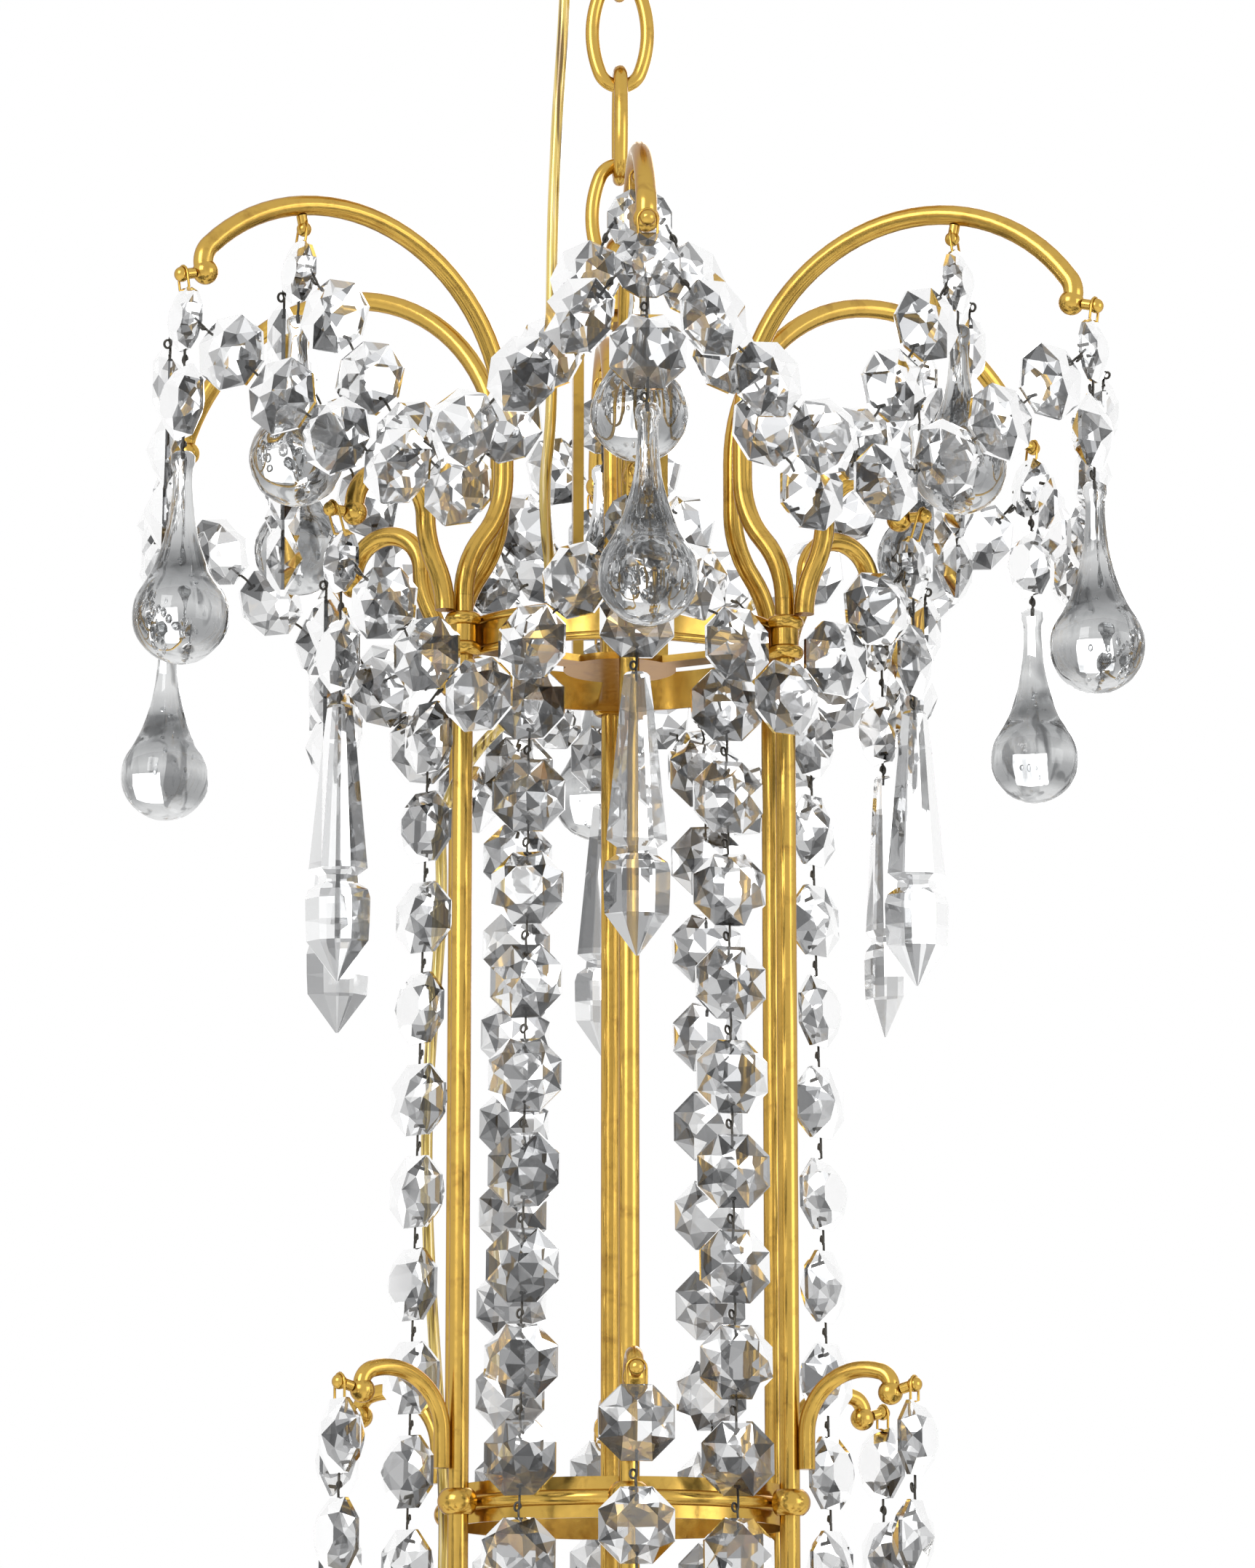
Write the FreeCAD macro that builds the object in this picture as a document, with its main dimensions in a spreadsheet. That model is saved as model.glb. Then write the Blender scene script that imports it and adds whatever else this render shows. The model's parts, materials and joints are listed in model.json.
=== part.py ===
"""Six-sided brass cage chandelier dressed with cut crystal, hanging from a short chain.

The origin is the middle of the canopy's ceiling face, +Z is up, and the front rod of the
cage stands towards -Y. Heights along the cage are given from the middle of the upper ring.
Lengths are millimetres and angles are degrees.
"""
import FreeCAD
import Part
import Sketcher
import math
import os
from FreeCAD import Matrix
from FreeCAD import Placement
from FreeCAD import Rotation
from FreeCAD import Vector

# ---------------------------------------------------------------- driving dimensions

DRIVING = (
    # alias, value, meaning
    ("sides", 6, "rods, arms and bays round the cage"),
    ("seat_gap", 0.1, "gap between a piece and what it is seated on"),
    ("cage_radius", 52, "circle through the rod centres"),
    ("rod_radius", 2.8, "cage rod"),
    ("rod_top", 11, "top of the rods, above the upper ring's middle"),
    ("rod_bottom", -424, "bottom of the rods"),
    ("band_clear", 0.2, "gap between a ring's bead and the rods"),
    ("band_wall", 0.9, "wall of the upper ring's band"),
    ("band_height", 11, "height of the ring bands"),
    ("band_bead", 1.2, "radius of the upper ring's edge beads"),
    ("plain_wall", 1, "wall of the mid and lower rings' bands"),
    ("plain_bead", 2.2, "radius of the mid and lower rings' centre bead"),
    ("mid_height", -240.8, "middle of the mid ring"),
    ("low_height", -412, "middle of the lower ring"),
    ("collar_bore_gap", 0.1, "gap between a rod and its collar"),
    ("collar_web", 0.25, "least wall of a collar, where it meets its ring"),
    ("collar_bead_radius", 2, "beads of the upper collars"),
    ("collar_body_radius", 3.9, "body of the upper collars"),
    ("collar_bead_height", 4.2, "height of a collar bead above or below the ring's middle"),
    ("fat_collar_radius", 3.6, "mid and lower collars at their ends"),
    ("fat_collar_half", 3.5, "half the height of a fat collar"),
    ("fat_collar_bulge", 4, "radius of its rounded side"),
    ("arm_tube", 2.8, "radius of the large arms' tube"),
    ("arm_lean", 13, "how far a large arm leans in above its rod"),
    ("arm_lean_rise", 36, "height over which it leans"),
    ("arm_straight", 15, "upright stretch of a large arm"),
    ("arm_sweep", 55, "radius of a large arm's sweep"),
    ("arm_curl", 7, "radius of the curl at its tip"),
    ("arm_curl_end", -25, "angle at which the curl ends"),
    ("arm_ball", 3.6, "ball at its tip"),
    ("tip_angle_1", 35, "where the sweep of the front arm ends"),
    ("tip_angle_2", 34, "front right arm"),
    ("tip_angle_3", 32, "back right arm"),
    ("tip_angle_4", 34, "back arm"),
    ("tip_angle_5", 22, "back left arm"),
    ("tip_angle_6", 43, "front left arm"),
    ("short_tube", 2.8, "radius of the short arms' tube"),
    ("short_lean", 6.5, "how far a short arm leans out"),
    ("short_lean_rise", 26, "height over which it leans"),
    ("short_sweep", 11.5, "radius of its sweep"),
    ("short_drop", 2, "straight end below the sweep"),
    ("short_ball", 3.6, "ball at its tip"),
    ("small_tube", 2.3, "radius of the small arms' tube"),
    ("small_foot", -232, "foot of the small arms"),
    ("small_rise", 9.5, "upright stretch above the foot"),
    ("small_sweep", 17, "radius of the small arms' sweep"),
    ("small_sweep_end", 72, "angle at which that sweep ends"),
    ("small_curl", 4.5, "radius of the curl at the tip"),
    ("small_curl_end", -20, "angle at which the curl ends"),
    ("small_ball", 3.4, "ball at the tip"),
    ("knob_stem", 1.5, "radius of a knob's stem"),
    ("knob_stem_length", 1.8, "length of a knob's stem"),
    ("knob_ball", 2.1, "radius of a knob's ball"),
    ("link_length", 36, "chain link, outside"),
    ("link_width", 20, "chain link, outside"),
    ("link_wire", 2, "radius of the chain's wire"),
    ("link_end", 6.2, "radius of the wire's centre line round a link's ends"),
    ("links", 5, "number of chain links"),
    ("chain_gap", 0.1, "gap between two links where they bear"),
    ("eye_circle", 8, "centre line of the suspension eye"),
    ("eye_wire", 4.1, "radius of the eye's section"),
    ("eye_boss", 9, "radius of the boss under the eye"),
    ("eye_boss_height", 6, "height of that boss"),
    ("strap_width", 10, "width of the yoke strap"),
    ("strap_wall", 3, "thickness of the yoke strap"),
    ("strap_reach", 13.5, "half the width over the yoke strap"),
    ("strap_bend", 14.2, "radius of the strap's bend, outside"),
    ("strap_top", 100, "top of the yoke strap"),
    ("plate_top", -2, "top of the spider's plate"),
    ("plate_wall", 2, "thickness of the spider's plate"),
    ("plate_radius", 16, "hub of the spider"),
    ("spoke_width", 8, "spokes of the spider"),
    ("loop_circle", 9, "centre line of the canopy's loop"),
    ("loop_wire", 2.5, "radius of the loop's wire"),
    ("loop_neck", 4, "radius of the loop's threaded neck"),
    ("nut_radius", 8, "nut that clamps the loop inside the canopy"),
    ("nut_height", 4, "height of that nut"),
    ("canopy_radius", 55, "canopy"),
    ("canopy_height", 32, "canopy"),
    ("canopy_wall", 1.6, "wall of the canopy"),
    ("canopy_crown", 22, "radius of the flat crown of the canopy"),
    ("canopy_swell", 60, "radius of the canopy's dome in section"),
    ("canopy_lip", 5, "upright lip at the canopy's rim"),
    ("bar_end_gap", 3.4, "gap between the mounting bar's ends and the canopy"),
    ("bar_width", 16, "mounting bar"),
    ("bar_wall", 2.5, "thickness of the mounting bar"),
    ("bar_hole", 2.6, "radius of its two screw holes"),
    ("bar_spacing", 80, "distance between the screw holes"),
    ("octagon_width", 20, "octagon crystal, across flats"),
    ("octagon_table", 10.5, "its flat table, across flats"),
    ("octagon_front", 4.6, "table above the girdle"),
    ("octagon_back", 5.6, "point behind the girdle"),
    ("rosette_radius", 8.75, "round crystal button"),
    ("rosette_table", 4.2, "its table"),
    ("rosette_front", 3.2, "table above the girdle"),
    ("rosette_back", 3.6, "point behind the girdle"),
    ("pin_radius", 0.5, "wire of the pins"),
    ("pin_gap", 0.15, "gap at each end of a pin"),
    ("bay_pitch", 25.86, "spacing of the crystals in a bay string"),
    ("bay_count", 16, "crystals in a bay string"),
    ("bay_first", -24, "first crystal of a bay string"),
    ("bay_radius", 54.2, "first crystal's distance from the axis"),
    ("bay_flare", 0.5, "how much further out each next crystal hangs"),
    ("bay_twist_1", -18, "how far the front right string's crystals have turned on their wire"),
    ("bay_twist_2", -40, "right string's"),
    ("bay_twist_3", 24, "back right string's"),
    ("bay_twist_4", -22, "back left string's"),
    ("bay_twist_5", 42, "left string's"),
    ("bay_twist_6", 16, "front left string's"),
    ("bay_play", 6, "how much that turn changes along a string"),
    ("side_pitch", 26.6, "spacing under the small arms"),
    ("side_count", 6, "crystals under each small arm"),
    ("side_first", -12.5, "first of these below the small arm's ball"),
    ("side_out", 7, "and outside it"),
    ("outer_count", 7, "crystals in an outer garland"),
    ("outer_sag", 46, "drop of an outer garland"),
    ("inner_count", 7, "crystals in an inner garland"),
    ("inner_sag", 66, "drop of an inner garland"),
    ("lower_count", 5, "crystals in a lower garland"),
    ("lower_sag", 40, "drop of a lower garland"),
    ("garland_side", 20, "angle below level at which a garland leaves a rosette's rim"),
    ("garland_lead", 14.4, "rosette's rim to the middle of a garland's first crystal"),
    ("garland_power", 1.3, "shape of a garland: 1 is a V, 2 a parabola"),
    ("tip_out", 6, "tip rosette outside the arm's ball"),
    ("tip_down", 14.5, "tip rosette below the arm's ball"),
    ("mid_radius", 106, "mid rosette's distance from the axis"),
    ("mid_down", 19.3, "mid rosette below the arm's centre line above it"),
    ("short_out", 4, "lower rosette outside the short arm's ball"),
    ("drop_pitch", 23.5, "rosette to the octagon under it"),
    ("spear_pitch", 26.6, "rosette to the octagon above a spear"),
    ("drop_gap", 4, "octagon or rosette to the drop under it"),
    ("drop_length", 59, "teardrop"),
    ("mid_drop_length", 54, "teardrop of the mid rosettes"),
    ("drop_radius", 13.2, "teardrop at its widest"),
    ("drop_neck", 3.1, "teardrop's neck"),
    ("spear_length", 77, "spear prism"),
    ("spear_top", 3.5, "half the width of the spear's top"),
    ("spear_shoulder", 8.2, "half its width above the notch"),
    ("spear_notch", 5.4, "half its width in the notch"),
    ("spear_head", 9, "half its width at the head"),
    ("spear_head_length", 18, "notch to where the head starts its point"),
    ("spear_depth", 0.5, "spear's depth over its width"),
    ("spear_notch_at", 0.62, "notch's place along the spear"),
    ("spear_twist_1", 4, "how far the front spear has turned on its wire"),
    ("spear_twist_2", -52, "front right spear's"),
    ("spear_twist_3", 4, "back right spear's"),
    ("spear_twist_4", 10, "back spear's"),
    ("spear_twist_5", -54, "back left spear's"),
    ("spear_twist_6", 50, "front left spear's"),
    ("cord_radius", 1.7, "supply cord"),
    ("bush_radius", 3.6, "cord bushes"),
    ("bush_height", 5, "cord bushes"),
    ("drum_gap", 0.6, "gap between the lamp drum and the lower ring"),
    ("drum_top", -402, "top of the lamp drum"),
    ("drum_bottom", -448, "bottom of the lamp drum"),
    ("lamp_exit", -431, "where the lamp arms leave the drum"),
    ("lamp_tube", 3.5, "radius of the lamp arms' tube"),
    ("lamp_straight", 15, "straight start of a lamp arm"),
    ("lamp_dip_radius", 50, "radius of its dip"),
    ("lamp_dip_turn", 50, "angle of its dip"),
    ("lamp_rise_radius", 50, "radius of its rise"),
    ("pan_radius", 34, "drip pan"),
    ("pan_wall", 2.4, "drip pan"),
    ("cup_radius", 13, "candle cup"),
    ("cup_stem", 2.1, "screw under the candle cup"),
    ("cup_height", 14, "candle cup above its stem"),
    ("sleeve_radius", 11, "candle sleeve"),
    ("sleeve_wall", 1, "candle sleeve"),
    ("sleeve_length", 60, "candle sleeve"),
    ("socket_radius", 9.6, "lamp socket"),
    ("socket_bore", 7.3, "bore of the lamp socket"),
    ("socket_depth", 24, "depth of that bore"),
    ("bulb_base", 7, "radius of the bulb's base"),
    ("bulb_radius", 17, "bulb at its widest"),
    ("bulb_height", 70, "bulb above the sleeve"),
    ("finial_height", 34, "bottom finial"),
)

# The cord's route, chosen by hand: x, y and height above the upper ring's middle.
CORD_ROUTE = (
    (-15.0, 1.8, 271.6), (-15.1, 2.3, 236.0), (-15.8, 2.8, 196.0), (-18.7, 3.4, 152.0),
    (-19.7, 4.0, 108.0), (-19.1, 5.0, 72.0), (-22.0, 6.1, 48.0), (-18.2, 7.9, 16.0),
    (-21.5, 11.1, -8.0), (-39.3, 15.5, -22.0), (-50.7, 17.6, -42.0), (-49.6, 18.0, -66.0),
    (-51.0, 17.6, -90.0), (-53.4, 17.7, -118.0), (-53.7, 17.7, -150.0), (-52.0, 17.6, -182.0),
    (-49.6, 17.5, -212.0), (-47.8, 17.4, -238.0), (-48.1, 17.4, -264.0), (-48.7, 17.9, -300.0),
    (-47.2, 17.4, -338.0), (-44.0, 16.0, -364.0), (-33.0, 12.5, -380.0), (-30.0, 10.0, -396.9),
)

doc = FreeCAD.newDocument("cage_chandelier")
sheet = doc.addObject("Spreadsheet::Sheet", "sizes")
for row, (alias, value, meaning) in enumerate(DRIVING, start=1):
    sheet.set("A%d" % row, meaning)
    sheet.set("B%d" % row, str(value))
    sheet.setAlias("B%d" % row, alias)
doc.recompute()


class Length:
    """A length with the sheet expression that gives it, so that a sketch can be bound to it."""

    def __init__(self, value, text):
        self.value = float(value)
        self.text = text

    def __add__(self, other):
        other = as_length(other)
        return Length(self.value + other.value, "(%s + %s)" % (self.text, other.text))

    def __sub__(self, other):
        other = as_length(other)
        return Length(self.value - other.value, "(%s - %s)" % (self.text, other.text))

    def __mul__(self, factor):
        return Length(self.value * factor, "(%s * %r)" % (self.text, factor))

    def __neg__(self):
        return Length(-self.value, "(-%s)" % self.text)


def as_length(number):
    """A plain number as a Length."""
    return number if isinstance(number, Length) else Length(number, repr(float(number)))


def given(alias):
    """The sheet's value with its expression."""
    return Length(getattr(sheet, alias), "sizes.%s" % alias)


def size(alias):
    """The sheet's value as a plain number."""
    return float(getattr(sheet, alias))


# ---------------------------------------------------------------- places

SIDES = int(size("sides"))
BAY = 360.0 / SIDES
GAP = size("seat_gap")
LINK_PITCH = size("link_length") - 4 * size("link_wire") - size("chain_gap")
LINK_HALF = size("link_length") / 2
EYE_HEIGHT = size("strap_top") + GAP + size("eye_circle") + size("eye_wire")
LAST_LINK_WIRE = EYE_HEIGHT + size("eye_circle") - size("eye_wire") - size("chain_gap") - size("link_wire")
LAST_LINK = LAST_LINK_WIRE + LINK_HALF - size("link_wire")
FIRST_LINK = LAST_LINK + (int(size("links")) - 1) * LINK_PITCH
LOOP_WIRE = FIRST_LINK + LINK_HALF - 2 * size("link_wire") - size("chain_gap") - size("loop_wire")
LOOP_HEIGHT = LOOP_WIRE + size("loop_circle")
CROWN_HEIGHT = LOOP_HEIGHT + size("loop_circle") + size("loop_wire") + 2 * GAP
RING_DROP = CROWN_HEIGHT + size("canopy_height")


def spot(radius, azimuth, height):
    """Point at a distance from the axis, an angle from the front and a height on the cage."""
    turn = math.radians(azimuth)
    return Vector(radius * math.sin(turn), -radius * math.cos(turn), height - RING_DROP)


def facing(azimuth):
    """Rotation that turns local +X outward at this azimuth and keeps +Z up."""
    return Rotation(Vector(0, 0, 1), azimuth - 90)


def outward(azimuth):
    """Unit vector pointing out of the cage at this azimuth."""
    turn = math.radians(azimuth)
    return Vector(math.sin(turn), -math.cos(turn), 0)


def rod_azimuths():
    """Azimuths of the rods and arms, from the front one round by the right."""
    return [BAY * index for index in range(SIDES)]


def bay_azimuths():
    """Azimuths of the middles of the bays."""
    return [BAY * (index + 0.5) for index in range(SIDES)]


def band_outside(bead):
    """Outside of a ring's band, whose bead just clears the rods."""
    return given("cage_radius") - given("rod_radius") - given(bead) - given("band_clear")


def drum_outside():
    """Radius of the lamp drum, which just fits inside the lower ring."""
    return band_outside("plain_bead") - given("plain_wall") - given("drum_gap")


# ---------------------------------------------------------------- document helpers

NODES = []


def keep(piece, label):
    """Mark a document object as a sub-part, which gives its file its name."""
    piece.Label = label
    NODES.append(piece)
    return piece


def shaped(label, shape):
    """A sub-part whose shape is made directly."""
    piece = doc.addObject("Part::Feature", label)
    piece.Shape = shape
    return keep(piece, label)


def copies(shape, placements):
    """Compound of one shape at several places."""
    group = []
    for placement in placements:
        twin = shape.copy()
        twin.Placement = placement.multiply(twin.Placement)
        group.append(twin)
    return Part.makeCompound(group)


def round_the_cage(label, body, azimuths, radius=0.0, height=0.0):
    """Sub-part made of copies of a body placed round the axis, local +X outward."""
    doc.recompute()
    places = [Placement(spot(radius, azimuth, height), facing(azimuth)) for azimuth in azimuths]
    return shaped(label, copies(body.Shape, places))


def new_body(name):
    """An empty body and the upright plane that its sketch lies on."""
    body = doc.addObject("PartDesign::Body", name)
    planes = {item.Role: item for item in body.Origin.OriginFeatures}
    return body, planes


def outline_sketch(body, plane, corners, bulges):
    """Closed sketch through corners (pairs of Length); a bulge turns the side after a corner into an arc."""
    sketch = body.newObject("Sketcher::SketchObject", body.Name + "_outline")
    sketch.AttachmentSupport = [(plane, "")]
    sketch.MapMode = "FlatFace"
    points = [Vector(across.value, up.value, 0) for across, up in corners]
    count = len(points)
    for index, start in enumerate(points):
        end = points[(index + 1) % count]
        if index in bulges:
            radius = bulges[index].value
            chord = end - start
            left = Vector(-chord.y, chord.x, 0).normalize()
            back = math.sqrt(radius ** 2 - (chord.Length / 2) ** 2)
            centre = (start + end) * 0.5 + left * math.copysign(back, radius)
            low, high = (start, end) if radius > 0 else (end, start)
            circle = Part.Circle(centre, Vector(0, 0, 1), abs(radius))
            first = math.atan2(low.y - centre.y, low.x - centre.x)
            last = math.atan2(high.y - centre.y, high.x - centre.x)
            sketch.addGeometry(Part.ArcOfCircle(circle, first, last + (2 * math.pi if last < first else 0)), False)
        else:
            sketch.addGeometry(Part.LineSegment(start, end), False)
    bind_outline(sketch, corners, bulges)
    return sketch


def arc_ends(sketch, index, start):
    """Vertex numbers of a side's start and end; a sketch stores an arc anticlockwise."""
    side = sketch.Geometry[index]
    if side.StartPoint.distanceToPoint(start) < 1e-6:
        return 1, 2
    return 2, 1


def bind_outline(sketch, corners, bulges):
    """Join the sides and bind each corner and arc to the sheet."""
    count = len(corners)
    starts = [Vector(across.value, up.value, 0) for across, up in corners]
    ends = [arc_ends(sketch, index, starts[index]) for index in range(count)]
    for index in range(count):
        following = (index + 1) % count
        sketch.addConstraint(Sketcher.Constraint(
            "Coincident", index, ends[index][1], following, ends[following][0]))
    for index, (across, up) in enumerate(corners):
        for kind, reach in (("DistanceX", across), ("DistanceY", up)):
            number = sketch.addConstraint(Sketcher.Constraint(
                kind, -1, 1, index, ends[index][0], reach.value))
            sketch.setExpression("Constraints[%d]" % number, reach.text)
    for index, radius in bulges.items():
        number = sketch.addConstraint(Sketcher.Constraint("Radius", index, abs(radius.value)))
        text = radius.text if radius.value > 0 else "-" + radius.text
        sketch.setExpression("Constraints[%d]" % number, text)


def turned(name, corners, bulges=None):
    """Body turned on a lathe about the upright axis from an outline of radii and heights."""
    body, planes = new_body(name)
    pairs = [(as_length(radius), as_length(height)) for radius, height in corners]
    arcs = {index: as_length(radius) for index, radius in (bulges or {}).items()}
    sketch = outline_sketch(body, planes["XZ_Plane"], pairs, arcs)
    turn = body.newObject("PartDesign::Revolution", name + "_turning")
    turn.Profile = sketch
    turn.ReferenceAxis = (sketch, ["V_Axis"])
    turn.Angle = 360
    return body


def plate(name, plane, corners, bulges, thickness, midplane):
    """Body sawn from flat stock: an outline and a thickness."""
    body, planes = new_body(name)
    pairs = [(as_length(across), as_length(up)) for across, up in corners]
    arcs = {index: as_length(radius) for index, radius in bulges.items()}
    sketch = outline_sketch(body, planes[plane], pairs, arcs)
    pad = body.newObject("PartDesign::Pad", name + "_stock")
    pad.Profile = sketch
    pad.setExpression("Length", thickness.text)
    pad.Midplane = midplane
    return body


def lowered(body, height):
    """Set a body on the axis at a height on the cage."""
    body.Placement = Placement(spot(0, 0, height), Rotation())
    return body


# ---------------------------------------------------------------- bent tubes and wire


class Bend:
    """A path in an upright plane, drawn as runs and tangent arcs from a start and a heading."""

    def __init__(self, across, up, heading):
        self.place = Vector(across, 0, up)
        self.heading = heading
        self.edges = []
        self.length = 0.0

    def run(self, distance):
        """Go straight."""
        turn = math.radians(self.heading)
        end = self.place + Vector(math.cos(turn), 0, math.sin(turn)) * distance
        self.edges.append(Part.LineSegment(self.place, end).toShape())
        self.place = end
        self.length += distance
        return self

    def arc(self, radius, turn):
        """Turn through an angle, to the left when it is positive."""
        side = math.copysign(90, turn)
        towards = math.radians(self.heading + side)
        centre = self.place + Vector(math.cos(towards), 0, math.sin(towards)) * radius
        spoke = self.place - centre
        half = Rotation(Vector(0, -1, 0), turn / 2).multVec(spoke)
        full = Rotation(Vector(0, -1, 0), turn).multVec(spoke)
        self.edges.append(Part.Arc(self.place, centre + half, centre + full).toShape())
        self.place = centre + full
        self.heading += turn
        self.length += math.radians(abs(turn)) * radius
        return self

    def tube(self, radius):
        """Solid tube of a radius along the path."""
        path = Part.Wire(self.edges)
        start = path.Edges[0].valueAt(path.Edges[0].FirstParameter)
        along = path.Edges[0].tangentAt(path.Edges[0].FirstParameter)
        section = Part.Wire([Part.Circle(start, along, radius).toShape()])
        return path.makePipeShell([section], True, False)


def lean(path, across, rise):
    """An S of two equal arcs that shifts an upright path sideways; across is positive to the right."""
    half_across = abs(across) / 2
    half_rise = rise / 2
    radius = (half_across ** 2 + half_rise ** 2) / (2 * half_across)
    turn = math.degrees(math.asin(half_rise / radius))
    turn = -turn if across > 0 else turn
    return path.arc(radius, turn).arc(radius, -turn)


def ball(place, radius):
    """Ball of a radius."""
    return Part.makeSphere(radius, place)


def tipped(path, tube_radius, ball_radius):
    """Tube along a path with the ball that closes its tip."""
    return path.tube(tube_radius).fuse(ball(path.place, ball_radius)).removeSplitter()


def large_arm_path(tip_angle):
    """Large arm: leans in over the ring, rises, sweeps over and curls under."""
    path = Bend(size("cage_radius"), size("rod_top") + GAP, 90)
    lean(path, -size("arm_lean"), size("arm_lean_rise"))
    path.run(size("arm_straight"))
    path.arc(size("arm_sweep"), tip_angle - 180)
    return path.arc(size("arm_curl"), size("arm_curl_end") - tip_angle)


def short_arm_path():
    """Short arm: stands on the collar outside the rod, leans out and bends over."""
    foot = size("cage_radius") + size("rod_radius") + size("short_tube") + 4 * GAP
    path = Bend(foot, size("collar_bead_height") + size("collar_bead_radius") + GAP, 90)
    lean(path, size("short_lean"), size("short_lean_rise"))
    path.arc(size("short_sweep"), -180)
    return path.run(size("short_drop"))


def small_arm_path():
    """Small arm at the mid ring: soldered to the outside of its rod."""
    foot = size("cage_radius") + size("rod_radius") + size("small_tube") + GAP
    path = Bend(foot, size("small_foot"), 90)
    path.run(size("small_rise"))
    path.arc(size("small_sweep"), size("small_sweep_end") - 180)
    return path.arc(size("small_curl"), size("small_curl_end") - size("small_sweep_end"))


def lamp_arm_path():
    """Lamp arm: leaves the drum level, dips and rises to its candle."""
    path = Bend(drum_outside().value + GAP, size("lamp_exit"), 0)
    path.run(size("lamp_straight"))
    path.arc(size("lamp_dip_radius"), -size("lamp_dip_turn"))
    return path.arc(size("lamp_rise_radius"), size("lamp_dip_turn") + 90)


def tip_angle(index):
    """Angle at which the sweep of one large arm ends; each was bent by hand."""
    return size("tip_angle_%d" % (index % 6 + 1))


def on_cage(shape, azimuth):
    """A shape drawn in the plane of radius and height, set at its azimuth."""
    placed = shape.copy()
    placed.Placement = Placement(spot(0, 0, 0), facing(azimuth)).multiply(placed.Placement)
    return placed


# ---------------------------------------------------------------- cut crystal


def polygon(count, inradius, depth):
    """Corners of a regular polygon with a flat on top; local Y is its face's normal."""
    corner = inradius / math.cos(math.pi / count)
    corners = []
    for index in range(count):
        turn = (index + 0.5) * 2 * math.pi / count
        corners.append(Vector(corner * math.sin(turn), depth, corner * math.cos(turn)))
    return corners


def solid_of(faces):
    """Solid bounded by flat faces, each given by its corners."""
    sides = [Part.Face(Part.makePolygon(list(corners) + [corners[0]])) for corners in faces]
    solid = Part.makeSolid(Part.makeShell(sides))
    if solid.Volume < 0:
        solid.reverse()
    return solid


def joined_rings(near, far):
    """Four-cornered faces between two rings with as many corners."""
    count = len(near)
    return [(near[i], near[(i + 1) % count], far[(i + 1) % count], far[i]) for i in range(count)]


def cone_to(ring, apex):
    """Three-cornered faces from a ring to a point."""
    count = len(ring)
    return [(ring[i], ring[(i + 1) % count], apex) for i in range(count)]


def button(count, inradius, table, front, back):
    """Cut button with a flat table in front (-Y) and a star that comes to a point behind."""
    girdle = polygon(count, inradius, 0)
    top = polygon(count, table, -front)
    faces = [top] + joined_rings(girdle, top) + cone_to(girdle, Vector(0, back, 0))
    return solid_of(faces)


OCTAGON = button(8, size("octagon_width") / 2, size("octagon_table") / 2,
                 size("octagon_front"), size("octagon_back"))
ROSETTE = button(12, size("rosette_radius"), size("rosette_table"),
                 size("rosette_front"), size("rosette_back"))


def hung(shape, centre, normal, upright, turned_over=False):
    """A crystal with its table towards a normal and its top along a direction."""
    front = (normal - upright * normal.dot(upright)).normalize()
    if turned_over:
        front = front * -1
    across = upright.cross(front)
    matrix = Matrix(across.x, -front.x, upright.x, centre.x,
                    across.y, -front.y, upright.y, centre.y,
                    across.z, -front.z, upright.z, centre.z,
                    0, 0, 0, 1)
    placed = shape.copy()
    placed.Placement = Placement(matrix)
    return placed


def pin(start, end, gap=None):
    """Steel pin between two points, drawn as a three-sided wire."""
    gap = size("pin_gap") if gap is None else gap
    along = (end - start).normalize()
    helper = Vector(0, 0, 1) if abs(along.z) < 0.9 else Vector(1, 0, 0)
    side = along.cross(helper).normalize()
    other = along.cross(side)
    low, high = start + along * gap, end - along * gap
    spokes = [side * math.cos(2 * math.pi * i / 3) + other * math.sin(2 * math.pi * i / 3) for i in range(3)]
    rings = [[place + spoke * size("pin_radius") for spoke in spokes] for place in (low, high)]
    return solid_of([rings[0], rings[1]] + joined_rings(rings[0], rings[1]))


def spear():
    """Spear prism, hanging from the origin: a long taper, a notch and a pointed head."""
    length = size("spear_length")
    notch = length * size("spear_notch_at")
    levels = (
        (0.0, size("spear_top")),
        (notch - 2, size("spear_shoulder")),
        (notch, size("spear_notch")),
        (notch + 2, size("spear_notch") + 0.2),
        (notch + 5, size("spear_head")),
        (notch + size("spear_head_length"), size("spear_head") * 0.97),
    )
    rings = []
    for down, half in levels:
        depth = half * size("spear_depth")
        rings.append([Vector(half * x, depth * y, -down) for x, y in (
            (1, 0), (0.45, 1), (-0.45, 1), (-1, 0), (-0.45, -1), (0.45, -1))])
    faces = [rings[0]]
    for upper, lower in zip(rings, rings[1:]):
        faces += joined_rings(upper, lower)
    return solid_of(faces + cone_to(rings[-1], Vector(0, 0, -length)))


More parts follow.
